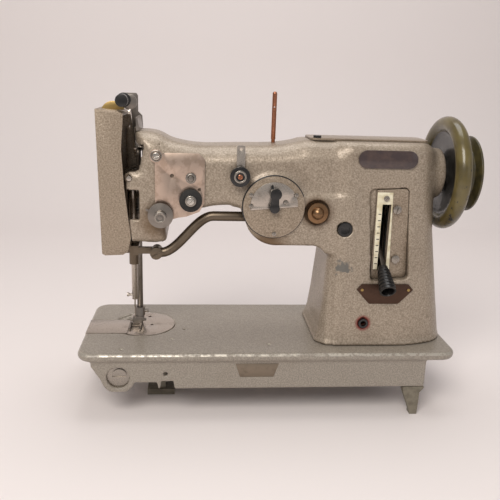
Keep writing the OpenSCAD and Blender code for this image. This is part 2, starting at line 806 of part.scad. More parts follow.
// two rows of teeth on a bar under the needle plate
module feed_dog() {
  color(steel) place() difference() {
    block(needle_x - 9, needle_x + 9, mid_y - 10, mid_y + 14, -6.5, -3.6);
    block(needle_x - 5.9, needle_x + 5.9, mid_y - 6, mid_y + 6, -7, -3);
  }
  color(steel) place() for (dx = [-7.2, 7.2]) {
    for (i = [0:6]) {
      translate([needle_x + dx - 1, mid_y - 9 + 3 * i, -3.7]) rotate([90, 0, 90]) linear_extrude(2) {
        polygon([[0, 0], [2.8, 0], [2.2, 3.9]]);
      }
    }
  }
}

// bar that carries the feed dog past the hook; it rocks with it
module feed_bar() {
  y = mid_y + 30;
  color(dark_steel) place() {
    block(needle_x - 6, needle_x + 9, mid_y + 11, y + 4, -10.5, -6.52);
    block(needle_x + 2, needle_x + 9, y - 4, y + 4, -26, -10.5 + eps);
    rod_x(4, needle_x + 2, 146, y, -26);
  }
}

module needle_plate() {
  color("#b3aea6") place() difference() {
    rod_z(needle_plate_r, -3 + 0.02, 0.3, plate_x, plate_y);
    block(-1, plate_x - 20 + 0.3, mid_y - 60, mid_y + 80, -4, 1);
    for (dx = [-7.2, 7.2]) {
      block(needle_x + dx - 1.7, needle_x + dx + 1.7, mid_y - 13, mid_y + 18, -4, 1);
    }
    block(needle_x - 5.6, needle_x + 5.6, mid_y - 1.6, mid_y + 1.6, -4, 1);
    for (p = [[5, 25], [10, -4]]) {
      rod_z(2.2, -4, 1, plate_x + p[0], plate_y + p[1]);
    }
  }
}

module slide_plate() {
  color("#b3aea6") place() block(1, plate_x - 20.3, mid_y - 21.7, mid_y + 23.7, -2.98, 0.1);
}

// ---- head ----

// pins fixed in the casting: the needle frame swings on two of them, the take-up lever on the third,
// the stitch length lever on the fourth, and the face cover opens on the fifth
module pivot_pins() {
  color(steel) place() {
    rod_y(pivot_r, arm_front + 1, arm_front + arm_wall + 7, needle_x, trunnion_z);
    rod_y(pivot_r, arm_rear - arm_wall - 7, arm_rear - 1, needle_x, trunnion_z);
    rod_x(4, needle_x + 0.5, head_x1 - 2 + eps, take_up_y, take_up_z);
    rod_x(pivot_r, column_x0 + 17, lever_x + 4, lever_y, lever_z);
    rod_z(2, cover_z0 + 20, cover_z1 - 20, hinge_x, hinge_y);
    for (z = [cover_z0 + 62, cover_z1 - 76]) {
      block(hinge_x - 2, head_x + 8, hinge_y - 2, hinge_y + 2, z, z + 10);
      block(head_x, head_x + 8, arm_rear + 0.02, hinge_y + 2, z, z + 10);
    }
  }
}

// frame that carries the needle bar and swings sideways for the zigzag stitch
module needle_frame() {
  y0 = arm_front + arm_wall + 1;
  y1 = arm_rear - arm_wall - 1;
  x = needle_x;
  color("#6e5a4a") place() difference() {
    union() {
      rod_y(6.5, y0, y0 + 8, x, trunnion_z);
      rod_y(6.5, y1 - 8, y1, x, trunnion_z);
      block(x - 5.5, x + 5.4, y0 + 4, presser_y - presser_bar_r - 3, trunnion_z - 5, trunnion_z + 5);
      block(x - 5.5, x - 1, y0 + 4, y1 - 4, trunnion_z - 5, trunnion_z + 5);
      // plate on the left of the bar, from the top bearing to the bottom one
      block(x - 9.5, x - 6.2, mid_y - 7, mid_y + 7, bracket_z - 8, trunnion_z + 5);
      block(x - 7, x - 5, mid_y - 7, mid_y + 7, trunnion_z - 5, trunnion_z + 5);
      block(x - 9.5, x, mid_y - 6, mid_y + 6, bracket_z - 8, bracket_z + 8);
      rod_z(7, bracket_z - 8, bracket_z + 8, x, mid_y);
      rod_z(6.2, bracket_z - 24, bracket_z - 8 + eps, x, mid_y);
      // arm to the zigzag link
      block(x - 2, x + 8, link_y + 4, mid_y, bracket_z - 6, bracket_z + 6);
      block(x + 2, stud_x, link_y + 4, link_y + 11, bracket_z - 4, bracket_z + 4);
      rod_y(7, link_y + 4, link_y + 11, stud_x, bracket_z);
    }
    rod_z(needle_bar_r + running_gap, bracket_z - 30, trunnion_z + 10, x, mid_y);
    for (y = [y0 - 1, y1 - 8]) {
      rod_y(pivot_r + running_gap, y, y + 9, x, trunnion_z);
    }
    rod_y(4 + running_gap, link_y, link_y + 12, stud_x, bracket_z);
    // room for the presser bar
    rod_z(presser_bar_r + 2, bracket_z - 30, trunnion_z + 10, presser_x, presser_y);
  }
}

// round bar swept along a path of front-view points [X, Z] in the plane y
module bent_bar(path, r, y) {
  n = len(path) - 1;
  sides = 12;
  dirs = [for (i = [0:n]) let (d = path[min(i + 1, n)] - path[max(i - 1, 0)]) d / norm(d)];
  points = [for (i = [0:n]) for (j = [0:sides - 1]) let (a = 360 * j / sides) [
    path[i][0] - dirs[i][1] * r * cos(a), y + r * sin(a), path[i][1] + dirs[i][0] * r * cos(a)
  ]];
  walls = [for (i = [0:n - 1]) for (j = [0:sides - 1]) let (k = (j + 1) % sides) each [
    [sides * i + j, sides * i + k, sides * (i + 1) + j],
    [sides * i + k, sides * (i + 1) + k, sides * (i + 1) + j]
  ]];
  ends = [[for (j = [sides - 1:-1:0]) j], [for (j = [0:sides - 1]) sides * n + j]];
  polyhedron(points, concat(walls, ends));
}

// bent bar that moves the frame; it climbs in an S from its screw to behind the dial
module zigzag_link() {
  y = link_y - 2;
  z = bracket_z;
  x0 = stud_x + 6;
  x1 = stud_x + 70;
  x2 = boss_x - 37;
  rise = 47.5;
  path = concat(
    [[stud_x, z]],
    [for (i = [0:16]) let (t = i / 16) [x0 + (x1 - x0) * t, z + rise * t * t * (3 - 2 * t)]],
    [[x2, z + rise]]
  );
  color("#63503f") place() {
    rod_y(3.96, y, link_y + 10, stud_x, z);
    difference() {
      rod_y(7.6, y - 8, y + 4, stud_x, z);
      translate([stud_x, y - 8, z]) rotate([0, 60, 0]) cube([2, 3, 16], center = true);
    }
    bent_bar(path, 6.2, y - 1);
  }
}

module needle_bar() {
  color(steel) place() {
    difference() {
      rod_z(needle_bar_r, 40, trunnion_z + 2, needle_x, mid_y);
      rod_z(1.02, 39, 54, needle_x, mid_y);
    }
    // clamp that the connecting link turns on
    difference() {
      rod_z(needle_bar_r + 2, trunnion_z - 31, trunnion_z - 15, needle_x, mid_y);
      rod_z(needle_bar_r - 0.5, trunnion_z - 32, trunnion_z - 14, needle_x, mid_y);
    }
    rod_x(3.2, needle_x + 4, head_x + 4, mid_y, trunnion_z - 21);
    // screw that holds the needle
    rod_x(1.6, needle_x - 8, needle_x - needle_bar_r + 0.5, mid_y, 46);
    rod_x(2.6, needle_x - 10, needle_x - 7.5, mid_y, 46);
  }
}

module needle() {
  color("#d2d0cc") place() {
    rod_z(1, 28, 53, needle_x, mid_y);
    translate([needle_x, mid_y, 15]) cylinder(r = 0.55, h = 13.2);
    translate([needle_x, mid_y, 12]) cylinder(r1 = 0.1, r2 = 0.55, h = 3.01);
  }
}

// connecting link between the needle bar and the crank
module needle_link() {
  z0 = trunnion_z - 21;
  z1 = shaft_z + crank_throw;
  x = head_x - 0.4;
  color(dark_steel) place() difference() {
    slab_x(x, x + 4) link_shape([mid_y, z0], [mid_y, z1], 6.5, 7.5);
    rod_x(3.2 + running_gap, x - 1, x + 5, mid_y, z0);
    rod_x(4.4, x - 1, x + 5, mid_y, z1);
  }
}

module presser_bar() {
  collar_z = lifter_z - 0.3;
  color(steel) place() {
    rod_z(presser_bar_r, 12, head_under + 66, presser_x, presser_y);
    difference() {
      rod_z(presser_bar_r + 3, collar_z, collar_z + 6, presser_x, presser_y);
      rod_z(presser_bar_r - 0.5, collar_z - 1, collar_z + 7, presser_x, presser_y);
    }
    // block that the lifter's cam pushes up
    block(presser_x + presser_bar_r - 1, presser_x + 15, presser_y - 3, presser_y + 3, collar_z, collar_z + 5);
  }
}

// coil spring around the presser bar, between its collar and the upper lug
module presser_spring() {
  z0 = lifter_z + 5.7 + 1;
  z1 = head_under + 52 - 1;
  turns = 5;
  wire = 0.9;
  coil = presser_bar_r + 2.2;
  steps = 20 * turns;
  rings = [for (i = [0:steps]) let (a = 360 * turns * i / steps) [
    for (j = [0:7]) let (b = 45 * j) [
      presser_x + (coil + wire * cos(b)) * cos(a), presser_y + (coil + wire * cos(b)) * sin(a),
      z0 + (z1 - z0) * i / steps + wire * sin(b)
    ]
  ]];
  points = [for (ring = rings) each ring];
  sides = [for (i = [0:steps - 1]) for (j = [0:7]) let (k = (j + 1) % 8) each [
    [8 * i + j, 8 * i + k, 8 * (i + 1) + j], [8 * i + k, 8 * (i + 1) + k, 8 * (i + 1) + j]
  ]];
  color(steel) place() polyhedron(points, concat([for (f = sides) [f[2], f[1], f[0]]],
    [[for (j = [0:7]) j], [for (j = [7:-1:0]) 8 * steps + j]]));
}

// hinged foot with a sole that is slotted for the needle
module presser_foot() {
  color("#9b968e") place() difference() {
    union() {
      difference() {
        rod_z(6.4, 12 - eps, 24, presser_x, presser_y);
        rod_z(presser_bar_r, 11.9, 30, presser_x, presser_y);
      }
      block(needle_x - 4, presser_x + 4, mid_y + 6, presser_y - 3, 3, 12);
      block(presser_x - 5, presser_x + 5, mid_y + 8, presser_y + 5, 5, 12);
      block(needle_x - 8, needle_x + 8, mid_y - 14, mid_y + 14, 0.35, 3.6);
      rod_x(2, needle_x - 8, presser_x + 8, mid_y + 9, 7);
      rod_x(2.6, presser_x + 6, presser_x + 11, presser_y, 18);
    }
    block(needle_x - 5.6, needle_x + 5.6, mid_y - 15, mid_y + 4.4, 0, 5);
    rod_z(presser_bar_r + 0.02, 11.9, 30, presser_x, presser_y);
  }
}

// hand lever on the rear of the head with the cam that lifts the presser bar
module presser_lifter() {
  x = presser_x + 22;
  z = lifter_z;
  color(dark_steel) place() {
    rod_y(4, presser_y - 3, arm_rear + 8, x, z);
    slab(presser_y - 3, presser_y + 3) link_shape([x, z], [x - 8.5, z - 3.1], 4, 1.8);
    slab(arm_rear + 2.5, arm_rear + 7) link_shape([x, z], [x + 6, z - 24], 7, 4.5);
    rod_y(5, arm_rear + 2.5, arm_rear + 15, x + 6, z - 24);
  }
}

module take_up_lever() {
  x = needle_x + 1;
  eye = [take_up_y - 60, take_up_z + 47];
  color(steel) place() difference() {
    union() {
      rod_x(7.5, x - 0.5, x + 4, take_up_y, take_up_z);
      slab_x(x, x + 3) link_shape([take_up_y, take_up_z], eye, 5.5, 3.4);
      slab_x(x, x + 3) link_shape([take_up_y, take_up_z], [take_up_y + 9, take_up_z - 10], 5, 3.2);
    }
    rod_x(4 + running_gap, x - 1, x + 5, take_up_y, take_up_z);
    rod_x(1.6, x - 1, x + 4, eye[0], eye[1]);
  }
}

// light guard plate behind the lever; its stud carries the upper tension
module take_up_guard() {
  y = arm_rear - 14;
  z = head_top + 0.02;
  color("#a9a49c") place() {
    slab(y, y + 2) polygon([
      [head_x - 11, z], [head_x - 11, cover_z1 + 1], [knob_x - 7, cover_z1 + 1], [knob_x - 7, knob_z + 7],
      [head_x - 3, knob_z + 7], [head_x - 1, knob_z + 4], [head_x - 1, z + 20], [head_x + 4, z + 15],
      [head_x + 5, z]
    ]);
    slab(arm_front + 20, y + eps) polygon([
      [head_x + 1, z], [head_x + 1, z + 16], [head_x + 3, z + 14], [head_x + 5, z]
    ]);
    rod_y(2.5, arm_front + 1, y + eps, knob_x, knob_z);
    rod_y(9, arm_front + 26, arm_front + 29, knob_x + 6, knob_z - 2.4);
  }
}

// half-round brass crest that stands on the face cover and opens with it
module cover_crest() {
  r = 15;
  color("#8a7840") place() slab(arm_front + 28, arm_front + 30) intersection() {
    translate([cover_x0 + 18, cover_z1 - 7]) circle(r = r);
    polygon([
      [cover_x0, cover_z1 - 0.48], [needle_x - 13.3, cover_z1 - 1.98], [needle_x - 7, cover_z1 - 1.98],
      [needle_x - 7, cover_z1 + r], [cover_x0, cover_z1 + r]
    ]);
  }
}

// folded sheet cover over the left end of the head, open towards the arm
module face_cover() {
  t = sheet_t;
  x1 = needle_x + 0.7;
  front_outline = [
    [cover_x0, cover_z1 - 0.5], [cover_x0 + 3.3, cover_z0 + 2], [cover_x0 + 7, cover_z0], [x1 - 10, cover_z0 + 1],
    [x1 - 4, cover_z0 + 5], [x1, cover_z0 + 22], [x1 - 7, shaft_z - 20], [x1 - 9.5, shaft_z + 26],
    [x1 - 6.8, shaft_z + 60], [x1 - 6.8, cover_z1 - 5], [x1 - 14, cover_z1 - 2]
  ];
  color(paint) place() {
    difference() {
      slab(cover_front, cover_rear) polygon(front_outline);
      block(cover_x0 + 3.4 + t, x1 + 1, cover_front + t, cover_rear - t, cover_z0 - 1, cover_z1 - 8);
    }
    // knuckles around the hinge pin
    for (z = [cover_z0 + 40, cover_z1 - 60]) {
      difference() {
        union() {
          rod_z(3.2, z, z + 14, hinge_x, hinge_y);
          block(hinge_x - 12, hinge_x, cover_rear - 1, cover_rear + 1.2, z, z + 14);
        }
        rod_z(2 + running_gap, z - 1, z + 15, hinge_x, hinge_y);
      }
    }
  }
}

// ---- thread tension ----

module tension_plate() {
  x0 = 94.4;
  x1 = 153.5;
  z1 = shaft_z + 23.4;
  color("#bfaea2") place() difference() {
    slab(arm_front - tension_plate_t - 0.02, arm_front - 0.02) union() {
      polygon([
        [x0, main_z - 6], [x0, z1 - 11], [x0 + 12, z1], [x1 - 7, z1], [x1, z1 - 7], [x1, shaft_z - 36],
        [x1 - 6, shaft_z - 47], [x1 - 22, shaft_z - 53.2], [main_x + 20.7, shaft_z - 54.6], [main_x, main_z - 10]
      ]);
      translate([x0 + 1.6, z1 - 4]) circle(r = 8);
    }
    rod_y(2.4, arm_front - 5, arm_front + 1, 114.6, shaft_z - 3.6);
    rod_y(2, arm_front - 5, arm_front + 1, 147, shaft_z - 20);
    for (p = [[main_x, main_z], [thread_wheel_x, thread_wheel_z]]) {
      rod_y(stud_r + 0.05, arm_front - 5, arm_front + 1, p[0], p[1]);
    }
  }
  color(steel) place() front_screw(4.6, x0 + 1.6, arm_front - tension_plate_t - 0.02 + eps, z1 - 4, 3, 8);
}

module disc_pair(x, z, r, y) {
  for (dy = [0, 2.4]) {
    difference() {
      rod_y(r, y - dy - 1, y - dy, x, z);
      rod_y(stud_r - 0.5, y - dy - 2, y - dy + 1, x, z);
    }
  }
}

// studs with their tension discs, and the guide post on the plate
module tension_studs() {
  y = arm_front - tension_plate_t - 3;
  color(steel) place() {
    rod_y(stud_r, y - 14, arm_front + 9, main_x, main_z);
    disc_pair(main_x, main_z, disc_r, y - 1);
    rod_y(stud_r, y - 9, arm_front + 9, thread_wheel_x, thread_wheel_z);
    rod_y(stud_r, y - 9, arm_front + 9, pretension_x, pretension_z);
    disc_pair(pretension_x, pretension_z, 10, arm_front - 4);
    rod_y(3, arm_front - 9, arm_front - tension_plate_t - 0.02, thread_wheel_x, shaft_z - 6);
    rod_y(6.4, arm_front - 5, arm_front - tension_plate_t - 0.02, thread_wheel_x, shaft_z - 6);
  }
}

// a knurled nut on a stud; its bore clears the stud's thread
module tension_nut(x, y0, y1, z, r) {
  difference() {
    rod_y(r, y0, y1, x, z);
    rod_y(stud_r + running_gap, y0 - 1, y1 + 1, x, z);
  }
}

module main_tension_nut() {
  y = arm_front - tension_plate_t - 8;
  color("#8c8882") place() tension_nut(main_x, y - 8.5, y - side_gap, main_z, 7.5);
}

module pretension_nut() {
  color(black) place() tension_nut(pretension_x, arm_front - 13.5, arm_front - 7.6, pretension_z, 12);
}

// black rubber-faced wheel that the thread runs around
module thread_wheel() {
  y = arm_front - tension_plate_t;
  color(black) place() difference() {
    union() {
      rod_y(13.6, y - 9, y - 2.5, thread_wheel_x, thread_wheel_z);
      rod_y(7.4, y - 11, y - 9 + eps, thread_wheel_x, thread_wheel_z);
    }
    rod_y(stud_r + running_gap, y - 13, y + 1, thread_wheel_x, thread_wheel_z);
  }
}

// black knob of the upper tension, on the guard's stud
module upper_tension_nut() {
  color(black) place() difference() {
    union() {
      rod_y(7.2, arm_front - 3, arm_front + 9, knob_x, knob_z);
      rod_y(5, arm_front + 8, arm_front + 20, knob_x, knob_z);
      rod_y(8.4, arm_front + 20, arm_front + 23, knob_x, knob_z);
    }
    rod_y(2.5 + running_gap, arm_front - 1, arm_front + 24, knob_x, knob_z);
  }
}

// thin spring arm that takes up the slack thread, wound on a hub behind the main discs
module check_spring() {
  y = arm_front - tension_plate_t;
  color(steel) place() difference() {
    union() {
      rod_y(7, y - 2.6, y - side_gap, main_x, main_z);
      slab(y - 2.2, y - 0.8) link_shape([main_x, main_z], [main_x - 17, main_z + 6], 3, 1.2);
    }
    rod_y(stud_r + running_gap, y - 4, y + 1, main_x, main_z);
  }
}

module arm_thread_guide() {
  color(steel) place() {
    slab(arm_front - 2, arm_front - 0.02) difference() {
      translate([pretension_x + 1, shaft_z + 20]) round_rect(10, 28, 2);
      translate([pretension_x + 1, shaft_z + 29]) circle(r = 1.6);
    }
  }
}

module thread_pin() {
  x = dial_x + 2;
  y = mid_y + 6;
  color("#8d5a45") place() difference() {
    union() {
      rod_z(thread_pin_r - 0.5, arm_top - 9, arm_top + 7 + eps, x, y);
      rod_z(thread_pin_r, arm_top + 7, arm_top + thread_pin_h, x, y);
      translate([x, y, arm_top + thread_pin_h]) sphere(r = thread_pin_r);
    }
    rod_y(0.9, y - 10, y + 10, x, arm_top + thread_pin_h - 16);
  }
}

bed();
rest_feet();
hinge_stud();
serial_badge();
arm_casting();
top_cover();
oil_caps();
brand_badge();
name_plate();
plate_rivets();
cover_screws();
dial_cover();
width_scale_plate();
width_lever();
position_knob();
length_panel();
length_scale_plate();
length_lever();
length_lever_grip();
handwheel();
drive_pulley();
handwheel_nut();
arm_shaft();
arm_shaft_bushings();
upper_belt_pulley();
crank_counterweight();
timing_belt();
lower_belt_pulley();
lower_shaft();
lower_shaft_bushings();
hook_bracket();
rotary_hook();
bobbin_case();
feed_dog();
feed_bar();
needle_plate();
slide_plate();
pivot_pins();
needle_frame();
zigzag_link();
needle_bar();
needle();
needle_link();
presser_bar();
presser_spring();
presser_foot();
presser_lifter();
take_up_lever();
take_up_guard();
face_cover();
cover_crest();
tension_plate();
tension_studs();
main_tension_nut();
check_spring();
thread_wheel();
upper_tension_nut();
pretension_nut();
arm_thread_guide();
thread_pin();
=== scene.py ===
import json
import math

import bpy
import numpy as np
from mathutils import Matrix, Vector


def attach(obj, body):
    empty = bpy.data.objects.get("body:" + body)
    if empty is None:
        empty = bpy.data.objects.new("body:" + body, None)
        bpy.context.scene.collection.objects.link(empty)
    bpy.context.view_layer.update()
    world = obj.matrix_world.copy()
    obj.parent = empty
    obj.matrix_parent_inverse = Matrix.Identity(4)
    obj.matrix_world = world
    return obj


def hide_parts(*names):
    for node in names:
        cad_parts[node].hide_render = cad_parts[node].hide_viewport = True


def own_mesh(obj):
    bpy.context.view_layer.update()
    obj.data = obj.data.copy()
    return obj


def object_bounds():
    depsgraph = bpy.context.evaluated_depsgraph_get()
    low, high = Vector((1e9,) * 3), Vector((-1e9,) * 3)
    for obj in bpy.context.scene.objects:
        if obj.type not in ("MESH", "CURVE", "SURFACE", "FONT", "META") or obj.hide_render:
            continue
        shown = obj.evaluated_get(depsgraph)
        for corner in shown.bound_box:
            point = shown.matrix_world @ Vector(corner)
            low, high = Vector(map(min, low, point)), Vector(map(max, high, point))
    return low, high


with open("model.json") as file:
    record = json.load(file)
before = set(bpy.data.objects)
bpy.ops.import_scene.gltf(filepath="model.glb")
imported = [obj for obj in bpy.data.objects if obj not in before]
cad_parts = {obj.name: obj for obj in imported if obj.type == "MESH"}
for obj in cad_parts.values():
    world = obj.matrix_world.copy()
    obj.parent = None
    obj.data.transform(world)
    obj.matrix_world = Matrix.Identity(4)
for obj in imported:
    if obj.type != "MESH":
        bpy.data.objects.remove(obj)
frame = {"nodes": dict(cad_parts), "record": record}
cad_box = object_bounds()
nodes = frame["nodes"]

# ---- Bed ----
# Cast iron bed plate with a round edge and two rails below it, in a smoother grey-brown enamel.
# It is sand cast in one piece and then painted. Cloth has rubbed the paint thin to bare iron at its
# rounded edge, and there a painted highlight, near white, stands for the shine of the light.

MM = 0.001
# the working axes start at the bed's front left corner, on top of the bed
SHIFT = np.array([-252.3, -89.0, 87.4])
BED_L, BED_W, BED_T = 476, 178, 11
MID_Y = BED_W / 2


def to_frame(points):
    """Millimetres from the bed's front left corner to metres in the machine's own frame."""
    return (np.asarray(points, dtype=float) + SHIFT) * MM


def linear(hex_colour):
    """An sRGB hex colour as the linear values that a shader takes."""
    c = np.array([int(hex_colour[i : i + 2], 16) for i in (1, 3, 5)]) / 255
    c = np.where(c <= 0.04045, c / 12.92, ((c + 0.055) / 1.055) ** 2.4)
    return (*c.tolist(), 1.0)


def add(material, kind, inputs=(), **settings):
    """Adds a shader node; an input is a value or another node's output socket."""
    made = material.node_tree.nodes.new(kind)
    for key, value in settings.items():
        setattr(made, key, value)
    for key, value in dict(inputs).items():
        if isinstance(value, bpy.types.NodeSocket):
            material.node_tree.links.new(value, made.inputs[key])
        else:
            made.inputs[key].default_value = value
    return made


def finish_material(name, roughness, metallic=0.0, coat=0.0, colour=None):
    """A new material with its shader; gives back the material, the shader and the object coordinates."""
    made = bpy.data.materials.new(name)
    made.use_nodes = True
    shader = made.node_tree.nodes["Principled BSDF"]
    shader.inputs["Roughness"].default_value = roughness
    shader.inputs["Metallic"].default_value = metallic
    shader.inputs["Coat Weight"].default_value = coat
    if colour:
        shader.inputs["Base Color"].default_value = linear(colour)
    where = add(made, "ShaderNodeTexCoord").outputs["Object"]
    return made, shader, where


def noise(material, where, size_mm, detail=3.0, roughness=0.5):
    """Cloudy noise whose lumps are about size_mm across."""
    settings = {"Vector": where, "Scale": 1000 / size_mm, "Detail": detail, "Roughness": roughness}
    return add(material, "ShaderNodeTexNoise", settings).outputs["Fac"]


def between(material, value, low, high, a, b):
    """Colour a below low, colour b above high, and a smooth change between."""
    ramp = add(material, "ShaderNodeValToRGB", {"Fac": value})
    ramp.color_ramp.interpolation = "EASE"
    ramp.color_ramp.elements[0].position = low
    ramp.color_ramp.elements[0].color = linear(a)
    ramp.color_ramp.elements[1].position = high
    ramp.color_ramp.elements[1].color = linear(b)
    return ramp.outputs["Color"]


def mixed(material, factor, a, b, blend="MIX"):
    """Colour a turning to colour b as the factor goes from 0 to 1."""
    mix = add(material, "ShaderNodeMix", data_type="RGBA", blend_type=blend)
    mix.inputs[0].default_value = 1.0
    for socket, value in ((mix.inputs[0], factor), (mix.inputs[6], a), (mix.inputs[7], b)):
        if isinstance(value, bpy.types.NodeSocket):
            material.node_tree.links.new(value, socket)
        elif isinstance(value, str):
            socket.default_value = linear(value)
        else:
            socket.default_value = value
    return mix.outputs[2]


def bumped(material, shader, height, depth_mm, strength=1.0):
    """Raises the surface by the height pattern, depth_mm at most."""
    bump = add(material, "ShaderNodeBump", {"Height": height, "Strength": strength, "Distance": depth_mm * MM})
    material.node_tree.links.new(bump.outputs["Normal"], shader.inputs["Normal"])

bed_paint, shader, where = finish_material("worn bed enamel, painted edge highlight", 0.38, 0.15, 0.2)
rubbed = noise(bed_paint, where, 45, 6.0, 0.65)
grain = noise(bed_paint, where, 1.6, 3.0, 0.6)
paint = between(bed_paint, grain, 0.35, 0.68, "#847c72", "#a0978a")
paint = mixed(bed_paint, between(bed_paint, rubbed, 0.5, 0.75, "#000000", "#707070"), paint, "#6b5f4c")
facing = add(bed_paint, "ShaderNodeNewGeometry").outputs["Normal"]
facing = add(bed_paint, "ShaderNodeSeparateXYZ", {"Vector": facing})
place = add(bed_paint, "ShaderNodeSeparateXYZ", {"Vector": where})
# the rounded edge, where it tilts between up and sideways, gets bare iron and a painted highlight: a near white,
# metallic band in ragged patches
edge = add(bed_paint, "ShaderNodeMath", {0: facing.outputs["Z"], 1: 0.62}, operation="SUBTRACT").outputs[0]
edge = add(bed_paint, "ShaderNodeMath", {0: edge}, operation="ABSOLUTE").outputs[0]
edge = add(bed_paint, "ShaderNodeMath", {0: edge, 1: 0.3}, operation="LESS_THAN").outputs[0]
high = add(bed_paint, "ShaderNodeMath", {0: place.outputs["Z"], 1: 0.0800}, operation="GREATER_THAN").outputs[0]
bright = between(bed_paint, noise(bed_paint, where, 9, 5.0, 0.7), 0.42, 0.58, "#000000", "#e8e8e8")
bare_iron_and_highlight = add(bed_paint, "ShaderNodeMath", {0: edge, 1: high}, operation="MULTIPLY").outputs[0]
bare_iron_and_highlight = add(bed_paint, "ShaderNodeMath", {0: bare_iron_and_highlight, 1: bright}, operation="MULTIPLY").outputs[0]
# painted highlight and bare iron: the masked band turns near white
paint = mixed(bed_paint, bare_iron_and_highlight, paint, "#d0c9bc")
bed_paint.node_tree.links.new(paint, shader.inputs["Base Color"])
bed_paint.node_tree.links.new(bare_iron_and_highlight, shader.inputs["Metallic"])
bumped(bed_paint, shader, grain, 0.12, 0.5)


def outline_distance(outline, a, b):
    """Distance to a closed outline, negative inside: the least distance to its edges, with the sign
    turned by the number of edges that a ray crosses."""
    outline = np.asarray(outline, dtype=np.float32)
    least = np.full(np.broadcast(a, b).shape, 1e9, dtype=np.float32)
    inside = np.zeros(least.shape, dtype=bool)
    for (ax, ay), (bx, by) in zip(outline, np.roll(outline, -1, axis=0)):
        ex, ey = bx - ax, by - ay
        t = np.clip(((a - ax) * ex + (b - ay) * ey) / (ex * ex + ey * ey + 1e-9), 0, 1)
        least = np.minimum(least, (a - ax - t * ex) ** 2 + (b - ay - t * ey) ** 2)
        crossed = ((ay > b) != (by > b)) & (a < ex * (b - ay) / (ey if ey else 1e-9) + ax)
        inside ^= crossed
    return np.where(inside, -np.sqrt(least), np.sqrt(least))


def rounded_meet(p, q, r):
    """The solid common to two solids, its new edge rounded to radius r."""
    p, q = p + r, q + r
    return np.minimum(np.maximum(p, q), 0) + np.hypot(np.maximum(p, 0), np.maximum(q, 0)) - r


def soft_join(p, q, k):
    """Two solids joined with a cast fillet about k wide."""
    h = np.clip(0.5 + 0.5 * (q - p) / k, 0, 1)
    return q * (1 - h) + p * h - k * h * (1 - h)


def cut(p, q):
    """The solid p with the solid q taken away."""
    return np.maximum(p, -q)


def box_distance(x, y, z, low, high):
    """Distance to a box with those corners, negative inside."""
    d = [np.maximum(low[i] - c, c - high[i]) for i, c in enumerate((x, y, z))]
    return np.maximum(np.maximum(d[0], d[1]), d[2])


def working_grid(low, size, step):
    """Points step apart from the low corner, as three thin arrays that numpy spreads to a full grid,
    and the first and last of them again as a flat front view."""
    rows = [np.arange(start, start + length, step, dtype=np.float32) for start, length in zip(low, size)]
    x, y, z = np.meshgrid(*rows, indexing="ij", sparse=True)
    return x, y, z, x[:, 0, :], z[0:1, 0, :]


def skin(field, low, step):
    """The zero surface of a distance field on a grid: one point in each cell that it crosses, at the
    mean of the crossings on the cell's edges, and one four-sided face round each crossed grid edge."""
    inside = field < 0
    corners = [(i, j, k) for i in (0, 1) for j in (0, 1) for k in (0, 1)]
    n = np.array(field.shape) - 1
    count = sum(inside[i : n[0] + i, j : n[1] + j, k : n[2] + k].astype(np.int8) for i, j, k in corners)
    cells = np.argwhere((count > 0) & (count < 8))
    number = np.full(n, -1, dtype=np.int64)
    number[tuple(cells.T)] = np.arange(len(cells))
    total = np.zeros((len(cells), 3))
    crossings = np.zeros(len(cells))
    for a in corners:
        for axis in range(3):
            if a[axis]:
                continue
            b = tuple(v + (i == axis) for i, v in enumerate(a))
            fa = field[tuple((cells + a).T)]
            fb = field[tuple((cells + b).T)]
            hit = (fa < 0) != (fb < 0)
            t = np.where(hit, fa / np.where(fa == fb, 1, fa - fb), 0)
            point = np.array(a) + t[:, None] * (np.array(b) - a)
            total += np.where(hit[:, None], point, 0)
            crossings += hit
    points = (cells + total / crossings[:, None]) * step + low
    faces = []
    for axis in range(3):
        u, v = (axis + 1) % 3, (axis + 2) % 3
        head = [slice(1, -1)] * 3
        tail = [slice(1, -1)] * 3
        head[axis], tail[axis] = slice(1, None), slice(None, -1)
        leaves = inside[tuple(tail)] & ~inside[tuple(head)]
        enters = ~inside[tuple(tail)] & inside[tuple(head)]
        for crossed, order in ((leaves, (0, 1, 2, 3)), (enters, (3, 2, 1, 0))):
            at = np.argwhere(crossed)
            at[:, u] += 1
            at[:, v] += 1
            ring = []
            for du, dv in ((-1, -1), (0, -1), (0, 0), (-1, 0)):
                c = at.copy()
                c[:, u] += du
                c[:, v] += dv
                ring.append(number[tuple(c.T)])
            faces.append(np.stack([ring[i] for i in order], axis=1))
    return points, np.concatenate(faces)


def surface(name, points, faces, material, smooth=True):
    """A mesh object at the origin from points in millimetres and four-sided faces."""
    mesh = bpy.data.meshes.new(name)
    mesh.vertices.add(len(points))
    mesh.vertices.foreach_set("co", to_frame(points).astype(np.float32).ravel())
    mesh.loops.add(faces.size)
    mesh.loops.foreach_set("vertex_index", faces.astype(np.int32).ravel())
    mesh.polygons.add(len(faces))
    mesh.polygons.foreach_set("loop_start", (np.arange(len(faces)) * faces.shape[1]).astype(np.int32))
    mesh.polygons.foreach_set("use_smooth", np.full(len(faces), smooth))
    mesh.update(calc_edges=True)
    mesh.validate()
    made = bpy.data.objects.new(name, mesh)
    bpy.context.scene.collection.objects.link(made)
    mesh.materials.append(material)
    return made


def thinned(piece, share):
    """Collapses the flattest faces until that share of them is left."""
    change = piece.modifiers.new("thin", "DECIMATE")
    change.ratio = share
    with bpy.context.temp_override(object=piece, active_object=piece):
        bpy.context.view_layer.objects.active = piece
        bpy.ops.object.modifier_apply(modifier=change.name)


step = 1.7
low = np.array([-4.0, -4.0, -52.0])
x, y, z, xz, zx = working_grid(low, (484.0, 186.0, 56.0), step)

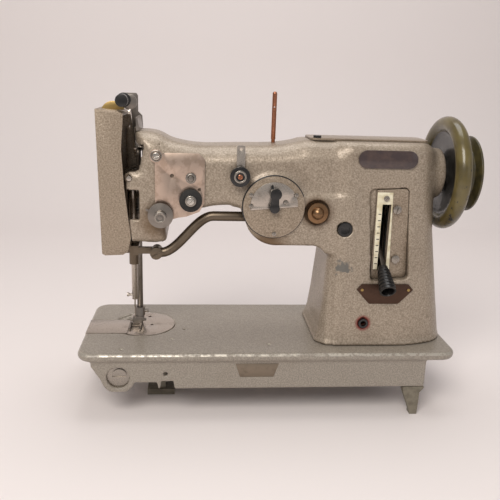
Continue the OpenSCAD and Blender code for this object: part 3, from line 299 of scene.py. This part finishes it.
# the plate, its long opening under the column, and the round seat and channel of the needle plate
corner_r = 20
half_l, half_w = BED_L / 2 - corner_r, BED_W / 2 - corner_r
plan = np.hypot(np.maximum(np.abs(x - BED_L / 2) - half_l, 0), np.maximum(np.abs(y - MID_Y) - half_w, 0)) - corner_r
plate = rounded_meet(plan, np.abs(z + BED_T / 2) - BED_T / 2, 5.0)
plate = cut(plate, box_distance(x, y, z, (328, 55, -20), (442, 123, 9)))
from_needle = np.hypot(x - 74.9, y - 100)
plate = cut(plate, np.maximum(from_needle - 35.7, np.abs(z) - 30))
plate = cut(plate, np.maximum(from_needle - 41, -3 - z))
plate = cut(plate, box_distance(x, y, z, (-9, 67, -3), (54.9, 113, 9)))
plate = cut(plate, box_distance(x, y, z, (9, 72, -30), (54.9, 108, 9)))
for hole_x, hole_y in ((128.9, 80), (114.3, 47.5), (237.5, 30.4), (52.9, 16.5)):
    plate = cut(plate, np.maximum(np.hypot(x - hole_x, y - hole_y) - 2.1, np.abs(z) - 30))

# front and rear rails: each has a ring for the hinge, two screw holes and a foot
rail_top, rail_low, rail_right = -10, -48.2, 437.5
rail_shape = [
    (17, rail_top), (17, -17), (33, -42.7), (49.8, -50.7), (71, -39.2), (97.5, -39.2), (98.5, -47.6),
    (101, -47.6), (103, -37.2), (110, -38.2), (117, -37.2), (119, rail_low), (rail_right, rail_low),
    (rail_right, rail_top),
]
from_ring = np.hypot(xz - 49.8, zx + 32.7)
rail_flat = np.minimum(outline_distance(rail_shape, xz, zx), from_ring - 21)
for y_mid, bore in ((7.5, 14.0), (170.5, 5.0)):
    rail = cut(rail_flat, from_ring - bore)
    for hole_x, hole_z in ((107.7, -28), (423, -29.5)):
        rail = cut(rail, np.hypot(xz - hole_x, zx - hole_z) - 2.9)
    rail = rounded_meet(rail[:, None, :], np.abs(y - y_mid) - 3.5, 1.2)
    plate = soft_join(plate, rail, 2.5)
plate = np.minimum(plate, box_distance(x, y, z, (430.5, 4, rail_low), (rail_right, 174, rail_top)))
for rib_x in (150, 414):
    rib = box_distance(x, y, z, (rib_x, 4, -46), (rib_x + 12, 174, rail_top))
    plate = np.minimum(plate, cut(rib, np.hypot(y - MID_Y, z + 32) - 9))
badge_pocket = outline_distance([(193.7, -14.3), (248.3, -14.3), (242.3, -32.7), (199.7, -32.7)], xz, zx)
plate = cut(plate, np.maximum(badge_pocket[:, None, :], y - 5.2))

most_faces = 90000
points, faces = skin(plate.astype(np.float32), low, step)
bed = surface("bed_casting", points, faces, bed_paint)
thinned(bed, min(1.0, most_faces / len(faces)))
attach(bed, "machine")
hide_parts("bed")

# ---- Arm casting ----
# One iron casting: the column, the arm, the round boss behind the dial and the open head.
# It is sand cast with soft corners, then sprayed with hammertone enamel and bolted to the bed.


def hammertone_enamel(name, light, dark, grime, marks=()):
    """Hammertone enamel: a silvery paint that dries in small round dimples, about 2 mm across,
    so the eye sees a fine light and dark mottle, with brown oil grime in patches. Each mark is a
    stain or a chip: its middle, the distances at which it ends, how ragged it is, and its colour."""
    made, shader, where = finish_material(name, 0.4, 0.3, 0.15)
    # drawn a little coarse, so that the dimples show
    dimple_mm = 2.6
    dimples = add(made, "ShaderNodeTexVoronoi", {"Vector": where, "Scale": 1000 / dimple_mm}).outputs["Distance"]
    fine = noise(made, where, 1.9, 4.0, 0.7)
    mottle = between(made, fine, 0.3, 0.74, dark, light)
    patches = noise(made, where, 60, 5.0, 0.6)
    stains_and_shade = mixed(made, between(made, patches, 0.46, 0.74, "#000000", "#8c8c8c"), mottle, grime)
    for middle, near, far, ragged, shade in marks:
        flat = add(made, "ShaderNodeVectorMath", {0: where, 1: (1, 0.4, 1)}, operation="MULTIPLY").outputs[0]
        away = add(made, "ShaderNodeVectorMath", {0: flat, 1: middle}, operation="DISTANCE").outputs["Value"]
        rough_edge = {0: noise(made, where, 9, 4.0, 0.6), 1: ragged}
        lumps = add(made, "ShaderNodeMath", rough_edge, operation="MULTIPLY").outputs[0]
        away = add(made, "ShaderNodeMath", {0: away, 1: lumps}, operation="ADD").outputs[0]
        stains_and_shade = mixed(made, between(made, away, near, far, "#ffffff", "#000000"), stains_and_shade, shade)
    # painted shade: corners and crevices, where ambient occlusion finds other iron within 12 mm, turn dark brown
    ao_crevice_shade = add(made, "ShaderNodeAmbientOcclusion", {"Distance": 0.012}, samples=6).outputs["AO"]
    stains_and_shade = mixed(made, between(made, ao_crevice_shade, 0.25, 0.8, "#d8d8d8", "#000000"), stains_and_shade, "#43362a")
    # the colour carries the oil stains, the marks and the painted shade in the corners
    made.node_tree.links.new(stains_and_shade, shader.inputs["Base Color"])
    height = add(made, "ShaderNodeMath", {0: dimples, 1: fine}, operation="ADD").outputs[0]
    bumped(made, shader, height, 0.35, 0.55)
    return made


# the marks lie on the front, so the pattern is squeezed front to rear and they fade out behind it:
# grey chips low on the column, red varnish round the oil hole, and oil stains under the dial and the head
MARKS = [
    ((0.0770, -0.022, 0.1890), 0.0238, 0.0244, 0.036, "#6f6c66"),
    ((0.1047, -0.022, 0.1174), 0.0082, 0.0088, 0.0, "#7c2f28"),
    ((0.0393, -0.022, 0.2579), 0.0160, 0.0300, 0.010, "#5f4a34"),
    ((-0.0200, -0.022, 0.2150), 0.0120, 0.0420, 0.012, "#6d563c"),
    ((-0.1560, -0.022, 0.2420), 0.0100, 0.0400, 0.012, "#6d563c"),
]
casting_paint = hammertone_enamel("hammertone enamel, casting", "#b9aa99", "#877a69", "#5f4d39", MARKS)


def curve_through(points, count):
    """A smooth curve through a few points, by Catmull and Rom's cubic, as count points."""
    p = np.asarray(points, dtype=float)
    p = np.vstack([2 * p[0] - p[1], p, 2 * p[-1] - p[-2]])
    s = np.linspace(0, len(p) - 3, count)
    i = np.minimum(s.astype(int), len(p) - 4)
    t = (s - i)[:, None]
    a, b, c, d = p[i], p[i + 1], p[i + 2], p[i + 3]
    return 0.5 * (2 * b + (c - a) * t + (2 * a - 5 * b + 4 * c - d) * t**2 + (3 * b - a - 3 * c + d) * t**3)


def bored(solid, at, radius, end_y):
    """The solid with a round hole from the front: its middle is at (x, z) and it ends at end_y."""
    return cut(solid, np.maximum(np.hypot(xz - at[0], zx - at[1])[:, None, :] - radius, y - end_y))


SHAFT_Z = 215.6
COLUMN_TOP = 256.1
HEAD_TOP = 262
DIAL = (238.0, 176.3)
BOSS = (243.0, 167.6)
MAIN_TENSION = (101, 164.6)
THREAD_WHEEL = (137, 183.6)
PRETENSION = (195.4, 213.7)
OIL_HOLE = (357, 30)

step = 2.0
low = np.array([48.0, 18.0, -4.0])
x, y, z, xz, zx = working_grid(low, (432.0, 142.0, 272.0), step)

# the arm is crowned: its upper edges are rounder than its lower ones
arm_top = curve_through(
    [
        (70, 262.2), (84, 262), (98, 259.4), (116.5, 251.2), (147.5, 246.6), (191, 247.6), (236, 248.9),
        (262, 252.4), (276, 256), (300, 256.1), (345, 256.1),
    ],
    70,
)
arm_under = curve_through(
    [
        (345, 168), (205, 172), (185, 175.2), (166, 174.3), (152, 171.4), (131, 166), (119, 160),
        (107, 146), (104.4, 128.4), (62, 127.9),
    ],
    60,
)
head_edge = [(62, 127.9), (58.2, 195), (58.2, 220), (70, 220), (70, 262.2)]
arm_shape = np.vstack([arm_top, arm_under, head_edge])
crown = 10 + 17 * np.clip((z - 196) / 45, 0, 1)
arm = rounded_meet(outline_distance(arm_shape, xz, zx)[:, None, :], np.abs(y - MID_Y) - 43, crown)

# the boss is two discs, one behind the dial, with a web that runs down into the column
from_boss, from_dial = np.hypot(xz - BOSS[0], zx - BOSS[1]), np.hypot(xz - DIAL[0], zx - DIAL[1])
dial_pad = np.minimum(from_boss - 40.7, from_dial - 39.4)
web_shape = [(243, 127), (282, 127), (300, 117), (340, 117), (340, 190), (243, 190)]
corner = np.hypot(xz - 287.5, zx - 106.6) - 20.4
under_web = cut(np.minimum(dial_pad, outline_distance(web_shape, xz, zx)), corner)[:, None, :]
boss = rounded_meet(under_web, np.abs(y - (42 + 132) / 2) - 45, 4)

# the column's front leans back towards the arm, recedes at the right and has a soft valley at the left
column_shape = [
    (295, -30), (295, 0), (299, 4), (303, 18), (306, 46), (310, 105), (312, 150), (313, 290), (436, 290),
    (440, 256), (443, 248), (446, 235), (450, 146), (462.5, 60), (471, 8), (473, 0), (473, -30),
]
lean_back = np.interp(z, [0, 8, 176.3, 256.1], [22, 25, 42, 45])
valley = 1.8 * np.exp(-(((x - 315.5) / 3.4) ** 2))
front_y = lean_back + 0.004 * np.maximum(x - 397, 0) ** 2 + valley
front_view = outline_distance(column_shape, xz, zx)[:, None, :]
side_view = np.maximum(front_y - y, y - (2 * MID_Y - lean_back))
column = rounded_meet(rounded_meet(front_view, side_view, 22), z - COLUMN_TOP, 14)
body = soft_join(soft_join(arm, boss, 7), column, 9)

# turned boss round the shaft on the wheel side
hub = rounded_meet(np.hypot(y - MID_Y, z - SHAFT_Z) - 32, np.abs(x - 440) - 17, 3)
body = soft_join(body, hub, 8)

# the foot and the top are machined flat
body = np.maximum(cut(body, z), z - HEAD_TOP)
body = np.maximum(body, np.where(x > 282, z - COLUMN_TOP, -99))

# hollows, as the iron is cored: the column and the opening in its top, the shaft's tunnel, the dial's
# chamber, and the head with the window in its front
hollow = outline_distance([(318, -9), (324, 248), (426, 248), (454, -9)], xz, zx)[:, None, :]
body = cut(body, np.maximum(hollow, np.abs(y - MID_Y) - 36))
body = cut(body, box_distance(x, y, z, (327, 68.5, 240), (423, 109.5, HEAD_TOP)))
body = cut(body, box_distance(x, y, z, (125, 56, 185.6), (340, 122, 233)))
body = cut(body, np.maximum(from_boss[:, None, :] - 30.7, np.abs(y - 92.5) - 32.5))
body = cut(body, box_distance(x, y, z, (40, 53, 100), (101, 125, 246)))
body = cut(body, box_distance(x, y, z, (40, 40, 157), (75, 54, 193)))

# the head stays clear of the face cover's sheet, and keeps a wall behind the needle bar
body = cut(body, box_distance(x, y, z, (40, 30, 100), (59.5, 125, HEAD_TOP)))
edge = [(30, 90), (64.8, 90), (64.8, 133), (57.8, 195.6), (30, 195.6)]
body = cut(body, np.maximum(outline_distance(edge, xz, zx)[:, None, :], y - 54))
body = np.minimum(body, box_distance(x, y, z, (52, 125, 128), (71, 130.4, HEAD_TOP)))
body = cut(body, box_distance(x, y, z, (40, 130.4, 100), (64.8, 140, HEAD_TOP)))

# bore of the shaft, and a pocket for the end of the zigzag link
body = cut(body, np.maximum(np.hypot(y - MID_Y, z - SHAFT_Z) - 11.2, 112 - x))
body = cut(body, box_distance(x, y, z, (195, 47, 149), (221, 75, 172)))

# two lugs inside the head guide the presser bar
lugs = box_distance(x, y, z, (62, 97.5, 130), (102, 126, 141))
lugs = np.minimum(lugs, box_distance(x, y, z, (62, 97.5, 180), (102, 126, 191)))
body = np.minimum(body, cut(lugs, np.hypot(x - 69, y - 103) - 4.5))

# recess of the stitch length panel, which leans with the column, and the opening for its lever
LEAN = math.radians(3.5)
px, pz = xz - 385, zx - 143.3
px, pz = px * math.cos(LEAN) + pz * math.sin(LEAN), pz * math.cos(LEAN) - px * math.sin(LEAN)
pocket = np.hypot(np.maximum(np.abs(px) - 19.5, 0), np.maximum(np.abs(pz) - 53, 0)) - 5
body = cut(body, np.maximum(pocket[:, None, :], y - 46))
body = cut(body, box_distance(x, y, z, (373.6, 20, 95.6), (384.4, 90, 181.6)))

# seats of the knob, the plug and the oil ring with its hole, then of the badge and the name plate
seats = [((291.6, 170.5), 15, 45), ((328, 149.6), 9.2, 45), (OIL_HOLE, 6.2, 30.1), (OIL_HOLE, 3.4, 40)]
for at, radius, end_y in seats:
    body = bored(body, at, radius, end_y)
badge_seat = np.hypot(np.maximum(np.abs(xz - 376) - 26, 0), zx - 236.8) - 11.2
body = cut(body, np.maximum(badge_seat[:, None, :], y - 44))
name_seat = outline_distance([(346, 74), (352, 81.8), (413, 81.8), (420, 74), (402, 54.8), (363, 54.8)], xz, zx)
body = cut(body, np.maximum(name_seat[:, None, :], y - 31.5))

# holes of the studs on the front, of the needle frame's pins, and of the two levers' shafts
for at in (DIAL, MAIN_TENSION, THREAD_WHEEL, PRETENSION):
    body = bored(body, at, 3.6, 57)
body = cut(body, np.maximum(np.hypot(xz - 63.5, zx - 207)[:, None, :] - 3.2, np.abs(y - MID_Y) - 50))
body = cut(body, np.maximum(np.hypot(xz - 91, zx - 152)[:, None, :] - 4.6, 120 - y))
body = cut(body, np.hypot(y - 97, z - 145.6) - 3.4 + np.maximum(np.abs(x - 323) - 8, 0) * 9)

most_faces = 92000
points, faces = skin(body.astype(np.float32), low, step)
arm_casting = surface("casting", points, faces, casting_paint)
thinned(arm_casting, min(1.0, most_faces / len(faces)))
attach(arm_casting, "machine")
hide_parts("arm_casting")

# ---- Handwheel ----
# Cast wheel with a round rim and a dished web, turned on its hub and keyed to the shaft.
# Its rim has a thick mustard-olive stove enamel, chipped to the iron; the web is dull black.

olive, shader, where = finish_material("olive stove enamel, chipped", 0.3, 0.0, 0.4)
place = add(olive, "ShaderNodeSeparateXYZ", {"Vector": where})
tone = between(olive, noise(olive, where, 26, 4.0), 0.35, 0.7, "#665a30", "#4a4021")
# the rim has more chips low down than at its top
heights = {"Value": place.outputs["Z"], "From Min": 0.36, "From Max": 0.24, "To Min": -0.09, "To Max": 0.045}
low_down = add(olive, "ShaderNodeMapRange", heights).outputs[0]
lumps = noise(olive, where, 8, 6.0, 0.72)
flaked = add(olive, "ShaderNodeMath", {0: lumps, 1: low_down}, operation="ADD").outputs[0]
chips = between(olive, flaked, 0.585, 0.615, "#000000", "#ffffff")
tone = mixed(olive, chips, tone, "#1f1c17")
# only the rim is olive: within 53.5 mm of the shaft the web is dull black
up = add(olive, "ShaderNodeMath", {0: place.outputs["Z"], 1: 0.303}, operation="SUBTRACT").outputs[0]
across = add(olive, "ShaderNodeCombineXYZ", {"X": place.outputs["Y"], "Y": up})
radius = add(olive, "ShaderNodeVectorMath", {0: across.outputs[0]}, operation="LENGTH").outputs["Value"]
rim_only = add(olive, "ShaderNodeMath", {0: radius, 1: 0.0535}, operation="GREATER_THAN").outputs[0]
dull = between(olive, noise(olive, where, 10, 4.0), 0.35, 0.7, "#34322f", "#24221f")
olive.node_tree.links.new(mixed(olive, rim_only, dull, tone), shader.inputs["Base Color"])
bumped(olive, shader, chips, 0.3, 0.6)


def turned(name, profile, middle, material, steps=96, axis=0):
    """A surface turned about an axis along X or Y: each profile point (along the axis, radius) runs
    round the axis in a circle, and the closed profile is joined point to point."""
    profile = np.asarray(profile, dtype=float)
    a = np.linspace(0, 2 * math.pi, steps, endpoint=False) * (1 if axis == 0 else -1)
    rows = [profile[:, 1:] * np.cos(a), profile[:, 1:] * np.sin(a)]
    rows.insert(axis, np.tile(profile[:, :1], (1, steps)))
    points = np.stack(rows, axis=-1) + middle
    index = np.arange(len(profile) * steps).reshape(len(profile), steps)
    ahead, beside = np.roll(index, -1, axis=0), np.roll(index, -1, axis=1)
    quads = np.stack([index, beside, np.roll(ahead, -1, axis=1), ahead], axis=-1).reshape(-1, 4)
    return surface(name, points.reshape(-1, 3), quads, material)


rim_r, rim_section, wheel_x = 62.6, 10, 465.6
bend = np.linspace(-160, 160, 29) * math.pi / 180
rim = [(-rim_section * math.sin(t), rim_r + rim_section * math.cos(t)) for t in bend]
# the web and hub, from the rear of the rim round the bore to its front
web = [
    (-2.6, 50), (-2, 46), (-2, 24), (-2.4, 20), (-6.2, 18), (-7, 17.2), (-7, 8.02), (14.9, 8.02),
    (14.9, 17), (14.6, 17.6), (5, 18.6), (3.9, 22), (3.9, 46), (3.4, 50),
]
wheel = turned("rim_and_web", rim + web, (wheel_x, MID_Y, SHAFT_Z), olive)
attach(wheel, "handwheel_assembly")
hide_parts("handwheel")

# ---- Carried-over pieces ----
# Covers, levers, bars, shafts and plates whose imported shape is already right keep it.
# Each gets a small worn edge and its real finish: steel, bronze, brass, enamel, plastic or rubber.


def satin_steel(name, colour, roughness, streak_mm=0.35, stain="#6d5b48", amount=0.6):
    """Ground steel: a metal with fine grinding streaks and a thin film of old oil, so it shines
    softly and turns brown in patches."""
    made, shader, where = finish_material(name, roughness, 1.0)
    patches = noise(made, where, 14, 5.0, 0.6)
    fine = noise(made, where, streak_mm * 4, 3.0, 0.6)
    worn = between(made, patches, 0.5, 0.5 + 0.4 * amount, "#000000", "#9a9a9a")
    tone = mixed(made, worn, colour, stain)
    made.node_tree.links.new(tone, shader.inputs["Base Color"])
    spread = add(made, "ShaderNodeMapRange", {"Value": fine, "To Min": roughness - 0.08, "To Max": roughness + 0.16})
    made.node_tree.links.new(spread.outputs[0], shader.inputs["Roughness"])
    bumped(made, shader, fine, 0.04, 0.4)
    return made


def plain_finish(name, colour, dark, roughness, size_mm, metallic=0.0, coat=0.0, depth_mm=0.05):
    """A coated or moulded surface: two close tones in soft patches, and a fine grain in its height."""
    made, shader, where = finish_material(name, roughness, metallic, coat)
    patches = noise(made, where, size_mm, 5.0, 0.6)
    tone = between(made, patches, 0.38, 0.7, colour, dark)
    made.node_tree.links.new(tone, shader.inputs["Base Color"])
    bumped(made, shader, noise(made, where, 1.2, 3.0, 0.6), depth_mm, 0.5)
    return made


finishes = {
    "hammertone": hammertone_enamel("hammertone enamel, covers", "#b1a18f", "#81725f", "#5f4c38"),
    "bed_enamel": plain_finish("bed enamel, small castings", "#7f7869", "#655e50", 0.5, 12, 0.1),
    "steel": satin_steel("satin steel", "#beb5ab", 0.26),
    "dark_steel": satin_steel("blackened steel", "#5a534c", 0.38, stain="#2e2722"),
    "brown_steel": satin_steel("browned steel", "#74685a", 0.36, stain="#40362c"),
    "bronze": satin_steel("sintered bronze", "#a5834f", 0.4, stain="#5e4726"),
    "brass": satin_steel("tarnished brass", "#b39862", 0.32, stain="#6b5427"),
    "black_plastic": plain_finish("black moulded plastic", "#121111", "#222020", 0.3, 8, 0.0, 0.2),
    "rubber": plain_finish("black rubber", "#191817", "#262422", 0.7, 6),
    "badge": plain_finish("dark badge enamel", "#3d3131", "#4d3d38", 0.25, 10, 0.0, 0.5),
    "etched": satin_steel("brown etched plate", "#57443a", 0.42, stain="#33271f"),
    "aluminium": satin_steel("cast aluminium", "#a9a6a0", 0.45, stain="#6f675b"),
    "copper": satin_steel("coppered steel", "#b0775c", 0.25, stain="#6a3426"),
}

# cream printed scale: short black strokes beside the slot, every 8 mm, and no figures
scale_print, shader, where = finish_material("cream printed scale", 0.45, 0.0, 0.1)
place = add(scale_print, "ShaderNodeSeparateXYZ", {"Vector": where})
row = add(scale_print, "ShaderNodeMath", {0: place.outputs["Z"], 1: 0.008}, operation="FLOORED_MODULO").outputs[0]
row = add(scale_print, "ShaderNodeMath", {0: row, 1: 0.0012}, operation="LESS_THAN").outputs[0]
side = add(scale_print, "ShaderNodeMath", {0: place.outputs["X"], 1: 0.1203}, operation="LESS_THAN").outputs[0]
side_in = add(scale_print, "ShaderNodeMath", {0: place.outputs["X"], 1: 0.1168}, operation="GREATER_THAN").outputs[0]
under = add(scale_print, "ShaderNodeMath", {0: place.outputs["Z"], 1: 0.262}, operation="LESS_THAN").outputs[0]
ink = row
for part in (side, side_in, under):
    ink = add(scale_print, "ShaderNodeMath", {0: ink, 1: part}, operation="MULTIPLY").outputs[0]
cream = between(scale_print, noise(scale_print, where, 9, 4.0), 0.4, 0.75, "#e6dfc6", "#c4b793")
scale_print.node_tree.links.new(mixed(scale_print, ink, cream, "#2a2620"), shader.inputs["Base Color"])
finishes["cream"] = scale_print

slot_of = {row["node"]: row["material_slot"] for row in frame["record"]["subparts"]}
finishes["olive_enamel"] = olive

# joins the loose triangles' shading: edges under 35 degrees turn smooth, the others stay sharp
shading = bpy.data.node_groups.new("smooth by angle", "GeometryNodeTree")
shading.interface.new_socket("Geometry", in_out="INPUT", socket_type="NodeSocketGeometry")
shading.interface.new_socket("Geometry", in_out="OUTPUT", socket_type="NodeSocketGeometry")
entry, result = shading.nodes.new("NodeGroupInput"), shading.nodes.new("NodeGroupOutput")
faces_smooth, edges_smooth = (shading.nodes.new("GeometryNodeSetShadeSmooth") for _ in range(2))
edges_smooth.domain = "EDGE"
angle = shading.nodes.new("GeometryNodeInputMeshEdgeAngle")
soft = shading.nodes.new("FunctionNodeCompare")
soft.operation = "LESS_THAN"
soft.inputs[1].default_value = math.radians(35)
shading.links.new(entry.outputs[0], faces_smooth.inputs[0])
shading.links.new(faces_smooth.outputs[0], edges_smooth.inputs[0])
shading.links.new(angle.outputs["Unsigned Angle"], soft.inputs[0])
shading.links.new(soft.outputs[0], edges_smooth.inputs["Shade Smooth"])
shading.links.new(edges_smooth.outputs[0], result.inputs[0])

worn_edge = 0.3 * MM
for name, node in nodes.items():
    node.data.materials.clear()
    node.data.materials.append(finishes[slot_of[name]])
    if name in ("presser_spring", "handwheel", "arm_casting", "bed"):
        continue
    weld = node.modifiers.new("weld", "WELD")
    weld.merge_threshold = 0.00001
    worn = node.modifiers.new("worn edges", "BEVEL")
    worn.width, worn.segments = worn_edge, 2
    worn.limit_method, worn.angle_limit = "ANGLE", math.radians(40)
    node.modifiers.new("shading", "NODES").node_group = shading
# a few pieces of one slot are darker or warmer than the rest of it
greyed = satin_steel("greyed steel", "#8f8881", 0.3, stain="#4f463d")
for name in ("tension_studs", "main_tension_nut", "check_spring", "presser_foot", "take_up_guard", "presser_bar"):
    nodes[name].data.materials[0] = greyed
dark_screws = satin_steel("oiled screw heads", "#a39c93", 0.24, stain="#3a322b", amount=0.9)
nodes["cover_screws"].data.materials[0] = dark_screws
nodes["hinge_stud"].data.materials[0] = dark_screws
own_finish = {
    "position_knob": satin_steel("browned knob", "#8a6c50", 0.3, stain="#4a3524"),
    "tension_plate": satin_steel("warm plated steel", "#c8b3a3", 0.3, stain="#8a715c", amount=0.3),
    "serial_badge": satin_steel("grey number plate", "#8d8172", 0.4, stain="#4c4236"),
    "drive_pulley": plain_finish("olive pulley enamel", "#4f472a", "#332e1e", 0.35, 12, 0.0, 0.3),
}
for name, finish in own_finish.items():
    nodes[name].data.materials[0] = finish

# ---- Washers and screw heads ----
# Turned steel rings and slotted heads on the thread wheel, the pre-tension and the main tension.
# They are pressed or screwed on the studs after the discs.


def washer(name, r_in, r_out, y_back, y_front, x_mid, z_mid, material, body):
    """A flat ring round an axis along Y with softened front corners, from y_back to y_front."""
    c = 0.25
    outer = [(y_back, r_in), (y_back, r_out), (y_front + c, r_out), (y_front, r_out - c)]
    profile = outer + [(y_front, r_in + c), (y_front + c, r_in)]
    made = turned(name, profile, (x_mid, 0, z_mid), material, 48, 1)
    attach(made, body)


def slotted_head(name, r, y_back, y_front, x_mid, z_mid, turn, material, body):
    """A round head made from rows of points: the front face is a grid whose middle band sinks 0.8 mm
    to make the slot, and the sides drop straight back."""
    n = 41
    u = np.linspace(-1, 1, n)
    a, b = np.meshgrid(u, u, indexing="ij")
    # squares map to discs, so that the grid's edge is the head's round edge
    px, pz = a * np.sqrt(1 - b * b / 2) * r, b * np.sqrt(1 - a * a / 2) * r
    across = px * math.sin(turn) - pz * math.cos(turn)
    depth = np.where(np.abs(across) < r * 0.17, 0.8, 0.0) + 0.35 * (np.hypot(px, pz) / r) ** 6
    front = np.stack([px + x_mid, y_front + depth, pz + z_mid], axis=-1)
    back = np.stack([px + x_mid, np.full(px.shape, y_back), pz + z_mid], axis=-1)
    points = np.concatenate([front.reshape(-1, 3), back.reshape(-1, 3)])
    i = np.arange(n * n).reshape(n, n)
    flat = np.stack([i[:-1, :-1], i[1:, :-1], i[1:, 1:], i[:-1, 1:]], axis=-1).reshape(-1, 4)
    ring = np.concatenate([i[:-1, 0], i[-1, :-1], i[:0:-1, -1], i[0, :0:-1]])
    after = np.roll(ring, -1)
    side = np.stack([ring, ring + n * n, after + n * n, after], axis=-1)
    made = surface(name, points, np.concatenate([flat, flat[:, ::-1] + n * n, side]), material)
    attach(made, body)


bright = satin_steel("bright screw steel", "#cfc9c1", 0.2, stain="#6d6152", amount=0.4)
PLATE_SCREW = (96, 235)
washer("plate_screw_washer", 4.8, 6.9, 43.45, 42.7, *PLATE_SCREW, dark_screws, "machine")
slotted_head("plate_screw_head", 4.4, 40.5, 39.6, *PLATE_SCREW, 0.3, bright, "machine")
washer("wheel_washer", 3.3, 6.6, 32.48, 31.9, *THREAD_WHEEL, dark_screws, "machine")
slotted_head("wheel_screw_head", 4.2, 31.45, 30.2, *THREAD_WHEEL, 0.8, bright, "machine")
washer("pretension_ring", 5.2, 7.6, 32.48, 32.0, *PRETENSION, dark_screws, "pretension_nut")
slotted_head("pretension_stud_head", 2.9, 31.45, 30.6, *PRETENSION, 1.2, finishes["copper"], "machine")
washer("main_tension_ring", 4.6, 6.8, 26.98, 26.3, *MAIN_TENSION, dark_screws, "main_tension_nut")
# painted shadow: a thin black ring under the dial's cover stands for the dark gap round its edge
washer("dial_gap_shadow_ring", 35.0, 39.2, 43.4, 41.9, *DIAL, finishes["black_plastic"], "machine")
washer("guide_post_ring", 3.4, 5.2, 40.95, 40.4, 137, 209.6, dark_screws, "machine")

# ---- Presser spring ----
# Coil of 1.8 mm spring steel wire around the presser bar, wound closed at its ends.
# It sits between the bar's collar and the upper lug, which squeeze it when the foot is lifted; here it is one fixed
# shape on the machine.


def coil(name, x_mid, y_mid, z0, z1, radius, wire, turns, material):
    """A helix: the wire's middle climbs evenly round the bar while each ring of points stands square
    to it, and the first and last half turn lie flat."""
    steps = 20 * turns
    t = np.linspace(0, 1, steps + 1)
    a = 2 * math.pi * turns * t
    climb = np.clip((t - 0.5 / turns) / (1 - 1 / turns), 0, 1)
    b = np.linspace(0, 2 * math.pi, 8, endpoint=False)
    out = radius + wire * np.cos(b)[None, :]
    up = z0 + wire + (z1 - z0 - 2 * wire) * climb[:, None] + wire * np.sin(b)[None, :]
    points = np.stack([x_mid + out * np.cos(a)[:, None], y_mid + out * np.sin(a)[:, None], up], axis=-1)
    index = np.arange((steps + 1) * 8).reshape(steps + 1, 8)
    beside = np.roll(index, -1, axis=1)
    quads = np.stack([index[:-1], index[1:], beside[1:], beside[:-1]], axis=-1).reshape(-1, 4)
    caps = np.array([index[0, [0, 1, 2, 3]], index[0, [3, 4, 5, 6]], index[0, [6, 7, 0, 3]]])
    ends = np.array([index[-1, [3, 2, 1, 0]], index[-1, [6, 5, 4, 3]], index[-1, [3, 0, 7, 6]]])
    return surface(name, points.reshape(-1, 3), np.concatenate([quads, caps, ends]), material)


spring = coil("spring_coil", 69, 103, 158.2, 179.0, 6.2, 0.85, 5, greyed)
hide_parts("presser_spring")
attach(spring, "machine")
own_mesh(spring)

# ---- Studio ----
# Pale paper sweep under the machine, which rises behind it in one smooth bend.
# A large soft light stands above and left, a weaker one on the right, and one hangs above.

floor_z = cad_box[0][2]
bend_r, bend_y = 0.5, 0.9
bend = np.linspace(0.1, math.pi / 2, 12)
run = np.concatenate([np.linspace(-1.6, bend_y, 12), bend_y + bend_r * np.sin(bend)])
rise = np.concatenate([np.zeros(12), bend_r - bend_r * np.cos(bend)])
run, rise = np.append(run, 1.4), np.append(rise, 3.2)
wide = np.linspace(-3, 3, 5)
grid = np.stack([np.tile(wide, (len(run), 1)), np.tile(run[:, None], 5), np.tile(rise[:, None], 5)], axis=-1)
index = np.arange(len(run) * 5).reshape(len(run), 5)
quads = np.stack([index[:-1, :-1], index[:-1, 1:], index[1:, 1:], index[1:, :-1]], axis=-1).reshape(-1, 4)
paper, shader, where = finish_material("pale paper", 0.9, colour="#ece5e3")
shader.inputs["Specular IOR Level"].default_value = 0.1
sweep_points = grid.reshape(-1, 3) / MM - SHIFT
sweep_points[:, 2] += floor_z / MM
sweep = surface("paper_sweep", sweep_points, quads, paper)


def soft_light(name, place, target, size, watts, colour):
    """A square soft box at a place, turned to face a target, both in metres."""
    lamp = bpy.data.lights.new(name, "AREA")
    lamp.shape, lamp.size, lamp.energy, lamp.color = "SQUARE", size, watts, linear(colour)[:3]
    made = bpy.data.objects.new(name, lamp)
    bpy.context.scene.collection.objects.link(made)
    made.location = place
    made.rotation_euler = (Vector(target) - Vector(place)).to_track_quat("-Z", "Y").to_euler()


soft_light("key", (-0.6, -1.4, 1.6), (0, 0, 0.2), 1.0, 27, "#fffaf4")
soft_light("fill", (1.4, -1.3, 0.8), (0, 0, 0.2), 1.2, 1.5, "#f2f4ff")
soft_light("top", (0.1, 0.3, 1.8), (0, 0, 0.2), 1.0, 9, "#ffffff")
world = bpy.data.worlds.new("studio")
world.use_nodes = True
world.node_tree.nodes["Background"].inputs[0].default_value = linear("#f3efee")
world.node_tree.nodes["Background"].inputs[1].default_value = 0.42
bpy.context.scene.world = world

lens = bpy.data.cameras.new("camera")
lens.lens, lens.sensor_width = 44.27, 36
camera = bpy.data.objects.new("camera", lens)
bpy.context.scene.collection.objects.link(camera)
forward = Vector((0.08563867, 0.95969024, -0.26769507)).normalized()
up = Vector((-0.00908296, 0.26942299, 0.9629791)).normalized()
right = forward.cross(up).normalized()
turn = Matrix((right, right.cross(forward), -forward)).transposed()
camera.matrix_world = Matrix.Translation(Vector((-0.1071, -0.779, 0.4132))) @ turn.to_4x4()
bpy.context.scene.camera = camera
bpy.context.scene.view_settings.view_transform = "Standard"
